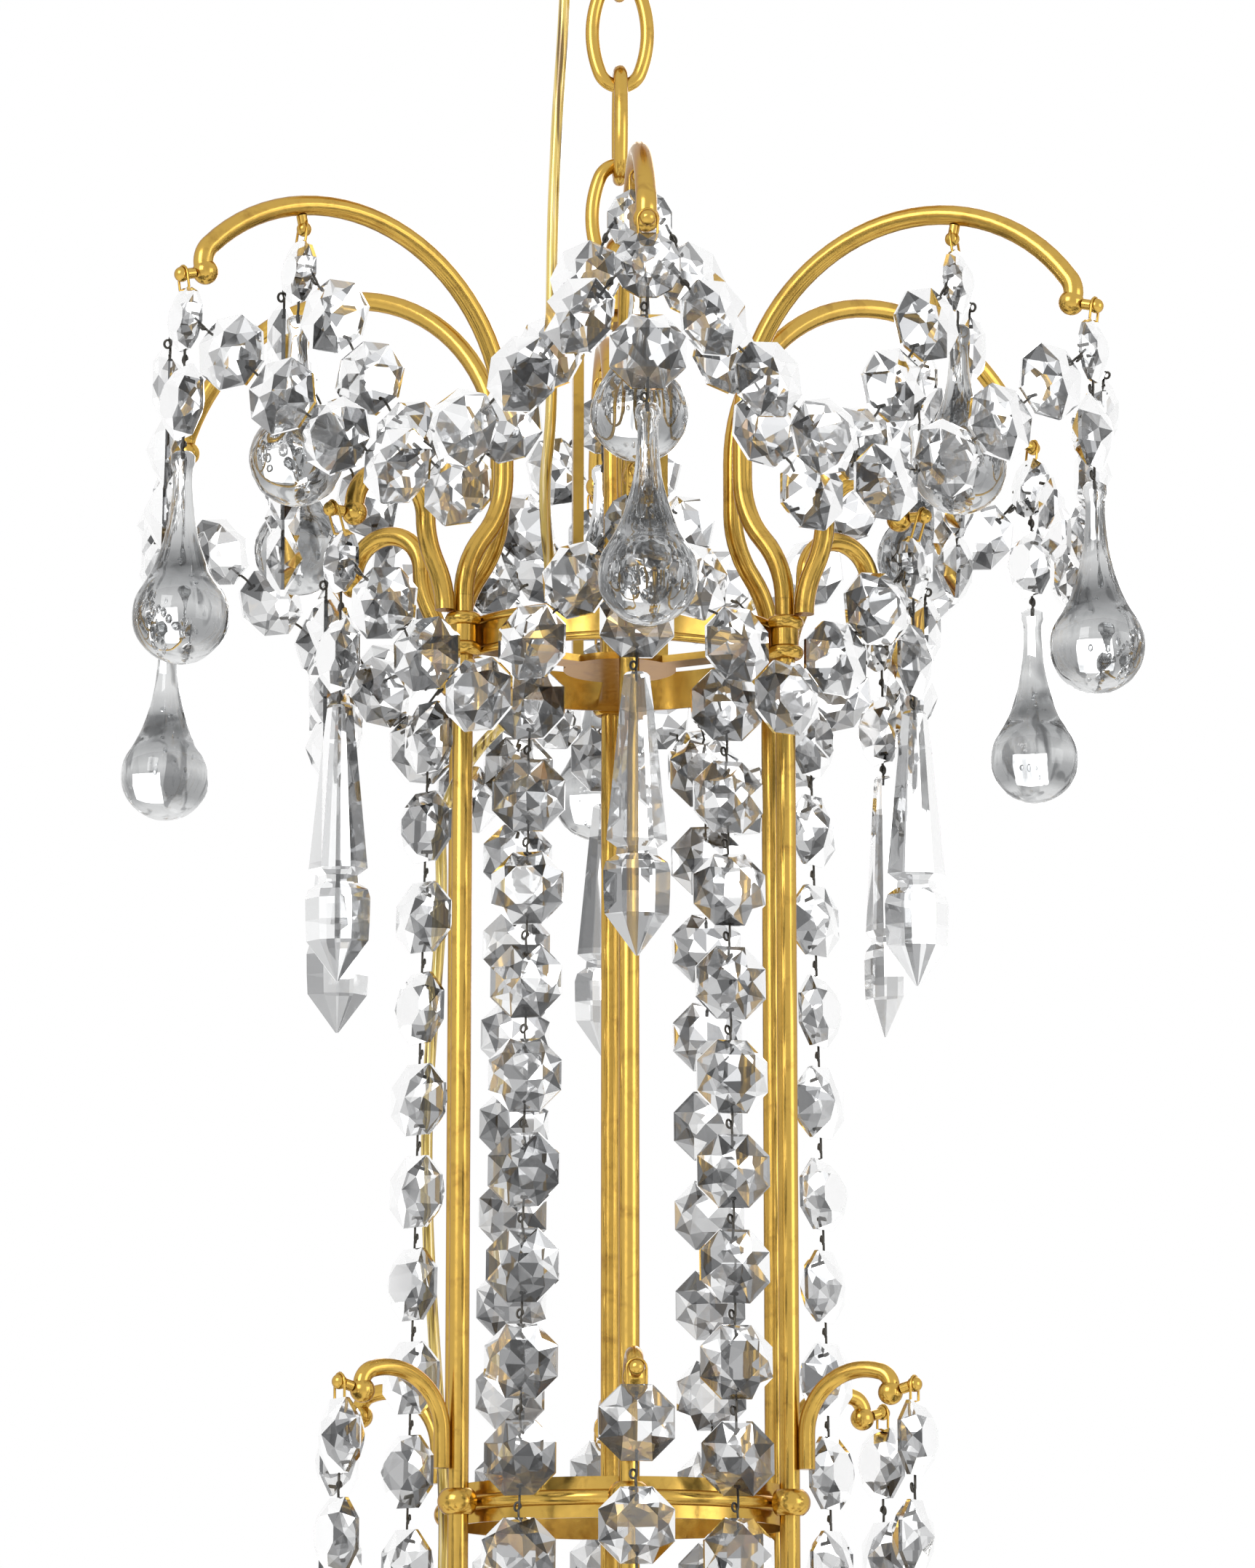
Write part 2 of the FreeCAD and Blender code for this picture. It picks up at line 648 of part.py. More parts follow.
def teardrop_body(length):
    """Teardrop turned about its upright axis, hanging from the origin."""
    round_part = size("drop_radius")
    centre = round_part - length
    neck = size("drop_neck")
    leave = math.radians(34)
    meet_across, meet_up = round_part * math.cos(leave), centre + round_part * math.sin(leave)
    top = Vector(0, 0, 0)
    shoulder = Vector(neck - 0.8, 0, 0)
    rim = Vector(neck, 0, -1.2)
    flare = Part.BezierCurve()
    flare.setPoles([rim, Vector(neck, 0, -22), Vector(meet_across - 7.6 * math.sin(leave), 0,
                    meet_up + 7.6 * math.cos(leave)), Vector(meet_across, 0, meet_up)])
    low = Vector(0, 0, centre - round_part)
    side_turn = (leave - math.pi / 2) / 2
    side = Vector(round_part * math.cos(side_turn), 0, centre + round_part * math.sin(side_turn))
    outline = [
        Part.LineSegment(top, shoulder).toShape(),
        Part.LineSegment(shoulder, rim).toShape(),
        flare.toShape(),
        Part.Arc(Vector(meet_across, 0, meet_up), side, low).toShape(),
        Part.LineSegment(low, top).toShape(),
    ]
    return Part.Face(Part.Wire(outline)).revolve(Vector(0, 0, 0), Vector(0, 0, 1), 360)


TEARDROP = teardrop_body(size("drop_length"))
MID_TEARDROP = teardrop_body(size("mid_drop_length"))
SPEAR = spear()
HALF = size("octagon_width") / 2
UP = Vector(0, 0, 1)


def turned_over(index, strand):
    """Whether a crystal of a strand shows its star instead of its table."""
    return (index * 7 + strand * 3) % 5 < 3


# ---------------------------------------------------------------- canopy and chain


def build_canopy():
    """Mounting bar, spun canopy, loop and nut."""
    reach = size("canopy_radius") - size("canopy_wall") - size("bar_end_gap")
    bar = Part.makeBox(2 * reach, size("bar_width"), size("bar_wall"),
                       Vector(-reach, -size("bar_width") / 2, -size("bar_wall")))
    for side in (-0.5, 0.5):
        bar = bar.cut(Part.makeCylinder(size("bar_hole"), 3 * size("bar_wall"),
                                        Vector(side * size("bar_spacing"), 0, -2 * size("bar_wall"))))
    shaped("mounting_bar", bar)
    height, radius, wall = given("canopy_height"), given("canopy_radius"), given("canopy_wall")
    crown, lip, swell = given("canopy_crown"), given("canopy_lip"), given("canopy_swell")
    bore = given("loop_neck") + given("seat_gap")
    shell = turned("canopy_shell", (
        (bore, -height), (crown, -height), (radius, -lip), (radius, 0),
        (radius - wall, 0), (radius - wall, -lip), (crown, wall - height), (bore, wall - height)),
        {1: swell, 5: -(swell - wall)})
    doc.recompute()
    outlet = Part.makeCylinder(size("bush_radius") + GAP, 12,
                               Vector(CORD_ROUTE[0][0], CORD_ROUTE[0][1], -size("canopy_height") - 5))
    shaped("canopy", shell.Shape.cut(outlet))
    ring = Part.makeTorus(size("loop_circle"), size("loop_wire"), spot(0, 0, LOOP_HEIGHT), Vector(1, 0, 0))
    foot = spot(0, 0, LOOP_HEIGHT + size("loop_circle") - 0.6)
    neck = Part.makeCylinder(size("loop_neck"), -size("bar_wall") - GAP - foot.z, foot)
    collar = Part.makeCylinder(size("loop_neck") + 3, -size("canopy_height") - GAP - foot.z, foot)
    shaped("canopy_loop", neck.fuse(collar).removeSplitter().fuse(ring))
    seat = -size("canopy_height") + size("canopy_wall") + GAP
    corners = [Rotation(UP, 60 * i).multVec(Vector(size("nut_radius"), 0, seat)) for i in range(7)]
    nut = Part.Face(Part.makePolygon(corners)).extrude(Vector(0, 0, size("nut_height")))
    hole = Part.makeCylinder(size("loop_neck") + GAP, 3 * size("nut_height"), Vector(0, 0, seat - 1))
    shaped("loop_nut", nut.cut(hole))


def bush(place, under, wall, over):
    """Round bush seated in a hole through a wall; place is the middle of the wall's underside."""
    radius = size("bush_radius")
    body = Part.makeCylinder(radius, under + wall + over, place - Vector(0, 0, under))
    flange = Part.makeCylinder(radius + 1.2, under - GAP, place - Vector(0, 0, under))
    return body.fuse(flange).removeSplitter()


def oval_path():
    """Centre line of a link: shallow bows up its sides and tighter ones round its ends."""
    across = size("link_width") / 2 - size("link_wire")
    along = size("link_length") / 2 - size("link_wire")
    end = size("link_end")
    side = (across ** 2 + (along - end) ** 2 - end ** 2) / (2 * (across - end))
    turn = math.degrees(math.asin((along - end) / (side - end)))
    path = Bend(across, 0, 90).arc(side, turn).arc(end, 180 - 2 * turn)
    return path.arc(side, 2 * turn).arc(end, 180 - 2 * turn).arc(side, turn)


def build_chain():
    """Oval links, alternately edge-on and face-on."""
    link = oval_path().tube(size("link_wire"))
    for number in range(int(size("links"))):
        height = FIRST_LINK - number * LINK_PITCH
        quarter = 0 if number % 2 == 0 else 90
        placed = link.copy()
        placed.Placement = Placement(spot(0, 0, height), Rotation(Vector(0, 0, 1), quarter))
        shaped("chain_link_%d" % (number + 1), placed)


def build_suspension():
    """Eye and strap that carry the cage, and the spoked plate that the strap stands on."""
    eye = Part.makeTorus(size("eye_circle"), size("eye_wire"), spot(0, 0, EYE_HEIGHT), Vector(1, 0, 0))
    foot = spot(0, 0, size("strap_top") + GAP)
    boss = Part.makeCylinder(size("eye_boss"), size("eye_boss_height"), foot)
    shaped("suspension_eye", boss.fuse(eye).removeSplitter())
    reach, wall, bend = given("strap_reach"), given("strap_wall"), given("strap_bend")
    foot_level = given("plate_top") + given("seat_gap")
    rise = Length(bend.value - math.sqrt(bend.value ** 2 - reach.value ** 2),
                  "(sizes.strap_bend - sqrt(sizes.strap_bend ^ 2 - sizes.strap_reach ^ 2))")
    spring = given("strap_top") - rise
    strap = plate("strap", "XZ_Plane", (
        (reach, foot_level), (reach, spring), (-reach, spring), (-reach, foot_level),
        (wall - reach, foot_level), (wall - reach, spring), (reach - wall, spring), (reach - wall, foot_level)),
        {1: bend, 5: -(bend - wall)}, given("strap_width"), True)
    keep(lowered(strap, 0), "yoke_strap")
    doc.recompute()
    hub = Part.makeCylinder(size("plate_radius"), size("plate_wall"), spot(0, 0, size("plate_top") - size("plate_wall")))
    spoke_length = (band_outside("band_bead") - given("band_wall")).value - GAP
    spokes = []
    for azimuth in (rod_azimuths()[1], rod_azimuths()[-1], rod_azimuths()[SIDES // 2]):
        bar = Part.makeBox(spoke_length, size("spoke_width"), size("plate_wall"),
                           Vector(0, -size("spoke_width") / 2, size("plate_top") - size("plate_wall")))
        spokes.append(on_cage(bar, azimuth))
    rim = Part.makeCylinder(spoke_length, size("band_height"), spot(0, 0, -size("band_height") / 2))
    shaped("ring_spider", hub.fuse(spokes).common(rim).removeSplitter())


# ---------------------------------------------------------------- rings, rods and collars


def build_rings():
    """Upper ring with two edge beads, mid and lower rings with one."""
    outer, bead = band_outside("band_bead"), given("band_bead")
    inner = outer - given("band_wall")
    half = given("band_height") * 0.5
    upper = turned("upper_band", (
        (inner, -half), (outer, -half), (outer, bead * 1.9 - half), (outer, half - bead * 1.9),
        (outer, half), (inner, half)), {1: bead, 3: bead})
    keep(lowered(upper, 0), "upper_ring")
    outer, bead = band_outside("plain_bead"), given("plain_bead")
    inner = outer - given("plain_wall")
    for label, level in (("mid_ring", "mid_height"), ("lower_ring", "low_height")):
        band = turned(label + "_band", (
            (inner, -half), (outer, -half), (outer, bead * -0.95), (outer, bead * 0.95),
            (outer, half), (inner, half)), {2: bead})
        keep(lowered(band, size(level)), label)


def build_rods():
    """Six straight rods, cut from one length."""
    body, planes = new_body("rod_set")
    sketch = body.newObject("Sketcher::SketchObject", "rod_section")
    sketch.AttachmentSupport = [(planes["XY_Plane"], "")]
    sketch.MapMode = "FlatFace"
    centre = Vector(0, -size("cage_radius"), 0)
    sketch.addGeometry(Part.Circle(centre, Vector(0, 0, 1), size("rod_radius")), False)
    sketch.addConstraint(Sketcher.Constraint("PointOnObject", 0, 3, -2))
    for kind, terms, text in (
            ("DistanceY", (0, 3, -1, 1, size("cage_radius")), "sizes.cage_radius"),
            ("Radius", (0, size("rod_radius")), "sizes.rod_radius")):
        number = sketch.addConstraint(Sketcher.Constraint(kind, *terms))
        sketch.setExpression("Constraints[%d]" % number, text)
    pad = body.newObject("PartDesign::Pad", "rod_length")
    pad.Profile = sketch
    pad.setExpression("Length", "sizes.rod_top - sizes.rod_bottom")
    doc.recompute()
    pattern = body.newObject("PartDesign::PolarPattern", "rod_places")
    pattern.Originals = [pad]
    pattern.Axis = (planes["Z_Axis"], [""])
    pattern.Angle = 360
    pattern.setExpression("Occurrences", "sizes.sides")
    body.Tip = pattern
    keep(lowered(body, size("rod_bottom")), "cage_rods")


def flattened(shape):
    """A collar, drawn at its rod with +X outward, filed flat where it meets the ring behind it."""
    flat = size("rod_radius") + size("collar_bore_gap") + size("collar_web")
    return shape.cut(Part.makeBox(20, 60, 60, Vector(-20 - flat, -30, -30)))


def build_collars():
    """Collars that tie the rods to the rings, one pattern for the top and one for the others."""
    bore = given("rod_radius") + given("collar_bore_gap")
    bead = given("collar_bead_radius")
    side, level = given("collar_body_radius"), given("collar_bead_height")
    inside, outside = level - bead * 0.95, level + bead * 0.95
    double = turned("double_collar", (
        (bore, -outside), (side, -outside), (side, -inside), (side, inside), (side, outside), (bore, outside)),
        {1: bead, 3: bead})
    side, half = given("fat_collar_radius"), given("fat_collar_half")
    single = turned("single_collar", ((bore, -half), (side, -half), (side, half), (bore, half)),
                    {1: given("fat_collar_bulge")})
    doc.recompute()
    for label, body, height in (
            ("upper_collars", double, 0.0),
            ("mid_collars", single, size("mid_height")),
            ("lower_collars", single, size("low_height"))):
        collar = flattened(body.Shape)
        places = [Placement(spot(size("cage_radius"), azimuth, height), facing(azimuth))
                  for azimuth in rod_azimuths()]
        shaped(label, copies(collar, places))


# ---------------------------------------------------------------- arms and knobs


def knob_body():
    """Turned knob on a short stem along +X, with a flat foot at the origin."""
    stem = Part.makeCylinder(size("knob_stem"), size("knob_stem_length") + 1, Vector(), Vector(1, 0, 0))
    return stem.fuse(ball(Vector(size("knob_stem_length") + size("knob_ball"), 0, 0), size("knob_ball")))


def knob_on(place, pitch, azimuth):
    """Knob at a place in the plane of radius and height, pointing up or down by its pitch."""
    shape = KNOB.copy()
    shape.Placement = Placement(place, Rotation(Vector(0, 1, 0), -pitch))
    return on_cage(shape, azimuth)


def along(place, pitch, distance):
    """Point at a distance from a place in the plane of radius and height."""
    turn = math.radians(pitch)
    return place + Vector(math.cos(turn), 0, math.sin(turn)) * distance


def build_arms():
    """Large, short and small arms with their knobs."""
    large, short, small, knobs = [], [], [], []
    for index, azimuth in enumerate(rod_azimuths()):
        path = large_arm_path(tip_angle(index))
        large.append(on_cage(tipped(path, size("arm_tube"), size("arm_ball")), azimuth))
        knobs.append(knob_on(along(path.place, -15, size("arm_ball") + GAP), -15, azimuth))
        pitch = math.degrees(math.atan2(SWEEP.z - ARM_OVER.z, SWEEP.x - ARM_OVER.x))
        knobs.append(knob_on(along(ARM_OVER, pitch, size("arm_tube") + GAP), pitch, azimuth))
        TIPS.append(path.place)
        short.append(on_cage(tipped(short_arm_path(), size("short_tube"), size("short_ball")), azimuth))
        knobs.append(knob_on(along(SHORT_END, 0, size("short_ball") + GAP), 0, azimuth))
        small.append(on_cage(tipped(small_arm_path(), size("small_tube"), size("small_ball")), azimuth))
        knobs.append(knob_on(along(SMALL_END, 15, size("small_ball") + GAP), 15, azimuth))
    shaped("scroll_arms", Part.makeCompound(large))
    shaped("short_scroll_arms", Part.makeCompound(short))
    shaped("small_arms", Part.makeCompound(small))
    shaped("hook_knobs", Part.makeCompound(knobs))


SWEEP = Vector(size("cage_radius") - size("arm_lean") + size("arm_sweep"), 0,
               size("rod_top") + GAP + size("arm_lean_rise") + size("arm_straight"))
ARM_OVER = Vector(size("mid_radius"), 0,
                  SWEEP.z + math.sqrt(size("arm_sweep") ** 2 - (size("mid_radius") - SWEEP.x) ** 2))
SHORT_END = short_arm_path().place
SMALL_END = small_arm_path().place
KNOB = knob_body()
KNOB_REACH = GAP + size("knob_stem_length") + size("knob_ball")
TIPS = []


# ---------------------------------------------------------------- strings and garlands


def rosette_spots():
    """For each azimuth the rosettes at the tip, under the large arm's top and at the short arm."""
    places = []
    for index, azimuth in enumerate(rod_azimuths()):
        tip = TIPS[index]
        places.append((
            azimuth,
            (tip.x + size("tip_out"), tip.z - size("tip_down")),
            (ARM_OVER.x, ARM_OVER.z - size("mid_down")),
            (SHORT_END.x + size("short_out"), SHORT_END.z - size("tip_down"))))
    return places


def curve_between(start, end, sag, power):
    """Points of a hanging garland between two places, closely spaced."""
    steps = 240
    points = []
    for step in range(steps + 1):
        share = step / steps
        low = 1 - abs(2 * share - 1) ** power
        place = start + (end - start) * share
        points.append(place - Vector(0, 0, sag * low))
    return points


def spaced(points, count, margin):
    """Places of a count of crystals along closely spaced points, the first and last at a margin."""
    lengths = [0.0]
    for near, far in zip(points, points[1:]):
        lengths.append(lengths[-1] + near.distanceToPoint(far))
    found = []
    for number in range(count):
        goal = margin + (lengths[-1] - 2 * margin) * number / (count - 1)
        index = next(i for i, length in enumerate(lengths) if length >= goal)
        share = (goal - lengths[index - 1]) / (lengths[index] - lengths[index - 1])
        found.append(points[index - 1] + (points[index] - points[index - 1]) * share)
    return found


def edge_reach(direction, heading):
    """Distance from the middle of an octagon, hung along its heading, to its edge in a direction."""
    turn = math.degrees(direction.getAngle(heading)) % 45
    return HALF / math.cos(math.radians(min(turn, 45 - turn)))


def garland(start, end, sag, power, count, strand, glass, pins):
    """String of octagons between two rosettes, with its pins."""
    across = (end - start)
    level = Vector(across.x, across.y, 0).normalize()
    normal = UP.cross(level)
    middle = (start + end) * 0.5
    if normal.dot(Vector(middle.x, middle.y, 0)) < 0:
        normal = normal * -1
    down = math.radians(size("garland_side"))
    rims = []
    for place, towards in ((start, 1), (end, -1)):
        tangent = UP.cross(Vector(place.x, place.y, 0).normalize()) * towards
        rims.append(place + (tangent * math.cos(down) - UP * math.sin(down)) * size("rosette_radius"))
    first, last = rims
    centres = spaced(curve_between(first, last, sag, power), count, size("garland_lead"))
    stops = [first] + centres + [last]
    joints = [first]
    for index, centre in enumerate(centres):
        heading = (stops[index + 2] - stops[index]).normalize()
        glass.append(hung(OCTAGON, centre, normal, heading, turned_over(index, strand)))
        for other in (stops[index], stops[index + 2]):
            towards = (other - centre).normalize()
            joints.append(centre + towards * (edge_reach(towards, heading) + size("pin_gap")))
    joints.append(last)
    for near, far in zip(joints[0::2], joints[1::2]):
        if near.distanceToPoint(far) > 3 * size("pin_gap"):
            pins.append(pin(near, far))


def build_strings():
    """Rosettes, garlands, bay strings and the strings under the small arms."""
    spots = rosette_spots()
    rosettes, pins = [], []
    outer, inner, lower, bays, sides = [], [], [], [], []
    for azimuth, tip, mid, short in spots:
        for radius, height in (tip, mid, short):
            rosettes.append(hung(ROSETTE, spot(radius, azimuth, height), outward(azimuth), UP))
    for index in range(SIDES):
        here, there = spots[index], spots[(index + 1) % SIDES]
        for which, group, sag, power, count in (
                (1, outer, size("outer_sag"), size("garland_power"), int(size("outer_count"))),
                (2, inner, size("inner_sag"), size("garland_power"), int(size("inner_count"))),
                (3, lower, size("lower_sag"), size("garland_power"), int(size("lower_count")))):
            start = spot(here[which][0], here[0], here[which][1])
            end = spot(there[which][0], there[0], there[which][1])
            garland(start, end, sag, power, count, index, group, pins)
    for strand, azimuth in enumerate(bay_azimuths()):
        previous = spot(band_outside("band_bead").value + 1, azimuth, -size("band_height") / 2 - 1)
        for number in range(int(size("bay_count"))):
            radius = size("bay_radius") + number * size("bay_flare")
            height = size("bay_first") - number * size("bay_pitch")
            centre = spot(radius, azimuth, height)
            upright = (outward(azimuth) * -size("bay_flare") + UP * size("bay_pitch")).normalize()
            twist = size("bay_twist_%d" % (strand % 6 + 1)) + size("bay_play") * math.sin(2.3 * number + strand)
            bays.append(hung(OCTAGON, centre, outward(azimuth + twist), upright, turned_over(number, strand)))
            pins.append(pin(previous, centre + upright * HALF))
            previous = centre - upright * HALF
        pins.append(pin(previous, spot(radius, azimuth, size("lamp_exit") + size("lamp_tube"))))
    for strand, azimuth in enumerate(rod_azimuths()):
        out = SMALL_END.x + size("side_out")
        knob = along(SMALL_END, 15, size("small_ball") + KNOB_REACH)
        previous = spot(knob.x, azimuth, knob.z - size("knob_ball"))
        for number in range(int(size("side_count"))):
            centre = spot(out, azimuth, SMALL_END.z + size("side_first") - number * size("side_pitch"))
            sides.append(hung(OCTAGON, centre, outward(azimuth), UP, turned_over(number, strand + 2)))
            pins.append(pin(previous, centre + UP * HALF))
            previous = centre - UP * HALF
    hook_pins(spots, pins)
    shaped("rosettes", Part.makeCompound(rosettes))
    shaped("outer_garlands", Part.makeCompound(outer))
    shaped("inner_garlands", Part.makeCompound(inner))
    shaped("lower_garlands", Part.makeCompound(lower))
    shaped("bay_strings", Part.makeCompound(bays))
    shaped("side_strings", Part.makeCompound(sides))
    shaped("string_pins", Part.makeCompound(pins))
    return spots


def hook_pins(spots, pins):
    """Hooks from the knobs to the rosettes."""
    rim = size("rosette_radius")
    pitch = math.degrees(math.atan2(SWEEP.z - ARM_OVER.z, SWEEP.x - ARM_OVER.x))
    for index, (azimuth, tip, mid, short) in enumerate(spots):
        for knob, rosette in (
                (along(TIPS[index], -15, size("arm_ball") + KNOB_REACH), tip),
                (along(ARM_OVER, pitch, size("arm_tube") + KNOB_REACH), mid),
                (along(SHORT_END, 0, size("short_ball") + KNOB_REACH), short)):
            pins.append(pin(spot(knob.x, azimuth, knob.z - size("knob_ball")),
                            spot(rosette[0], azimuth, rosette[1] + rim)))


# ---------------------------------------------------------------- hanging drops


def build_drops(spots):
    """The drops that swing freely under the rosettes."""
    rim = size("rosette_radius")
    gap = size("drop_gap")
    for index, (azimuth, tip, mid, short) in enumerate(spots):
        for label, place, jewel, pitch in (
                ("tip_drop", tip, TEARDROP, size("drop_pitch")),
                ("mid_drop", mid, MID_TEARDROP, 0),
                ("spear_drop", short, SPEAR, size("spear_pitch"))):
            radius, height = place
            pieces = []
            bottom = height - rim
            if pitch:
                centre = height - pitch
                pieces.append(pin(spot(radius, azimuth, bottom), spot(radius, azimuth, centre + HALF)))
                pieces.append(hung(OCTAGON, spot(radius, azimuth, centre), outward(azimuth), UP,
                                   turned_over(index, 1)))
                bottom = centre - HALF
            pieces.append(pin(spot(radius, azimuth, bottom), spot(radius, azimuth, bottom - gap)))
            hanging = jewel.copy()
            turn = size("spear_twist_%d" % (index + 1)) if jewel is SPEAR else 0
            hanging.Placement = Placement(spot(radius, azimuth, bottom - gap), Rotation(UP, azimuth + turn))
            pieces.append(hanging)
            shaped("%s_%d" % (label, index + 1), Part.makeCompound(pieces))


# ---------------------------------------------------------------- lamps


def build_lamps():
    """Drum, lamp arms, drip pans, candles and bulbs."""
    radius, top, bottom = drum_outside(), given("drum_top"), given("drum_bottom")
    drum = turned("drum", ((0, bottom), (radius - 4, bottom), (radius, bottom + 4), (radius, top - 3),
                           (radius - 3, top), (0, top)), {1: 4})
    lowered(drum, 0)
    doc.recompute()
    end = CORD_ROUTE[-1]
    hole = Part.makeCylinder(size("bush_radius") + GAP, 12, Vector(end[0], end[1], size("drum_top") - RING_DROP - 6))
    shaped("lamp_drum", drum.Shape.cut(hole))
    path = lamp_arm_path()
    arm = path.tube(size("lamp_tube"))
    shaped("lamp_arms", Part.makeCompound([on_cage(arm, azimuth) for azimuth in bay_azimuths()]))
    seat, reach = path.place.z + GAP, path.place.x
    screw, rim, wall, gap = given("cup_stem"), given("pan_radius"), given("pan_wall"), given("seat_gap")
    pan = turned("pan", ((screw + gap, 0), (rim - 7, 0), (rim, 3), (rim - 0.8, wall + 3),
                         (rim - 8, wall), (screw + gap, wall)))
    cup, sleeve = given("cup_radius"), given("sleeve_radius")
    floor = wall + gap + 4
    mouth = wall + gap + given("cup_height")
    cup_body = turned("cup", ((0, 0), (screw, 0), (screw, wall + gap), (cup - 3, wall + gap), (cup, wall + gap + 2),
                              (cup - 0.7, wall + gap + 3.4), (cup, mouth), (sleeve + gap, mouth),
                              (sleeve + gap, floor), (0, floor)))
    floor = floor + gap
    top = floor + given("sleeve_length")
    tube = turned("sleeve", ((sleeve - given("sleeve_wall"), floor), (sleeve, floor), (sleeve, top),
                             (sleeve - given("sleeve_wall"), top)))
    outer, bore, depth = given("socket_radius"), given("socket_bore"), given("socket_depth")
    lip = top - 2
    socket = turned("socket", ((0, floor), (outer, floor), (outer, lip), (bore, lip), (bore, lip - depth),
                               (0, lip - depth)))
    shaped_bulb = bulb_shape(top.value)
    for label, body in (("drip_pans", pan), ("candle_cups", cup_body), ("candle_sleeves", tube),
                        ("lamp_sockets", socket)):
        round_the_cage(label, body, bay_azimuths(), reach, seat)
    places = [Placement(spot(reach, azimuth, seat), facing(azimuth)) for azimuth in bay_azimuths()]
    shaped("candle_bulbs", copies(shaped_bulb, places))


def bulb_shape(top):
    """Candle bulb standing in its socket, its glass above the sleeve's top."""
    base = size("bulb_base")
    wide = size("bulb_radius")
    height = size("bulb_height")
    foot = Vector(0, 0, top - 2 - size("socket_depth") + GAP)
    neck = Vector(base, 0, top + 1)
    belly = Vector(wide, 0, top + height * 0.36)
    tip = Vector(0, 0, top + height)
    lower = Part.BezierCurve()
    lower.setPoles([neck, Vector(base + 3, 0, top + 8), Vector(wide, 0, top + 12), belly])
    upper = Part.BezierCurve()
    upper.setPoles([belly, Vector(wide, 0, top + height * 0.62), Vector(4, 0, top + height * 0.9), tip])
    corner = Vector(base, 0, foot.z)
    outline = [Part.LineSegment(foot, corner).toShape(), Part.LineSegment(corner, neck).toShape(),
               lower.toShape(), upper.toShape(), Part.LineSegment(tip, foot).toShape()]
    return Part.Face(Part.Wire(outline)).revolve(Vector(0, 0, 0), Vector(0, 0, 1), 360)


def build_finial():
    """Turned finial under the drum."""
    top = given("drum_bottom") - given("seat_gap")
    down = given("finial_height")
    finial = turned("finial", (
        (0, top - down), (6, top - down + 6), (3.4, top - down + 12), (3.4, top - down + 14),
        (9, top - down + 17), (20, top - 12), (36, top - 3), (36, top), (0, top)),
        {0: 6, 4: -14})
    keep(lowered(finial, 0), "bottom_finial")


# ---------------------------------------------------------------- supply cord


def cord_points():
    """The cord's route in the part's frame."""
    return [Vector(x, y, z - RING_DROP) for x, y, z in CORD_ROUTE]


def build_cord():
    """Cord as straight runs joined by tangent arcs, each as large as its runs allow."""
    points = cord_points()
    edges = []
    radii = []
    place = points[0]
    for before, corner, after in zip(points, points[1:], points[2:]):
        back, ahead = (before - corner), (after - corner)
        reach = 0.45 * min(back.Length, ahead.Length)
        start = corner + back.normalize() * reach
        end = corner + ahead.normalize() * reach
        turn = math.pi - back.getAngle(ahead)
        radius = reach / math.tan(turn / 2)
        radii.append(radius)
        inward = (back + ahead).normalize()
        middle = corner + inward * (radius / math.cos(turn / 2) - radius)
        edges.append(Part.LineSegment(place, start).toShape())
        edges.append(Part.Arc(start, middle, end).toShape())
        place = end
    edges.append(Part.LineSegment(place, points[-1]).toShape())
    path = Part.Wire(edges)
    along_start = (points[1] - points[0]).normalize()
    section = Part.Wire([Part.Circle(points[0], along_start, size("cord_radius")).toShape()])
    tube = path.makePipeShell([section], True, False)
    ideal = math.pi * size("cord_radius") ** 2 * path.Length
    print("cord: length %.1f, least radius %.1f, volume ratio %.5f" % (path.Length, min(radii), tube.Volume / ideal))
    shaped("supply_cord", tube)
    under, over = size("bush_height") * 0.4, 1.4
    shaped("cord_bush", bush(Vector(points[0].x, points[0].y, CROWN_HEIGHT - RING_DROP), under,
                             size("canopy_wall"), over))
    plug = bush(Vector(points[-1].x, points[-1].y, RING_DROP - size("drum_top")), size("bush_height"), 2, 2)
    shaped("drum_bush", plug.mirror(Vector(), UP))


build_canopy()
build_chain()
build_suspension()
build_rings()
build_rods()
build_collars()
build_arms()
ROSETTE_SPOTS = build_strings()
build_drops(ROSETTE_SPOTS)
build_lamps()
build_finial()
build_cord()
doc.recompute()

for item in doc.Objects:
    if "Invalid" in item.State or "Error" in item.State:
        raise RuntimeError("object failed: %s %s" % (item.Label, item.State))
bad = [piece.Label for piece in NODES if piece.Shape.isNull() or not piece.Shape.isValid()]
if bad:
    raise RuntimeError("bad shapes: %s" % bad)
os.makedirs("parts", exist_ok=True)
for piece in NODES:
    piece.Shape.exportStep(os.path.join("parts", piece.Label + ".step"))
print("%d nodes, %d solids" % (len(NODES), sum(len(piece.Shape.Solids) for piece in NODES)))
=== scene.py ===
"""Looks of a crystal cage chandelier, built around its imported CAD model.

Brass pieces are the CAD nodes themselves with a gilt finish. Each cut crystal, drop and
wire pin stands exactly where its CAD solid is, read from the node's own corners.
"""
import json
import math
import random

import bpy
import numpy as np
from mathutils import Matrix, Vector, noise


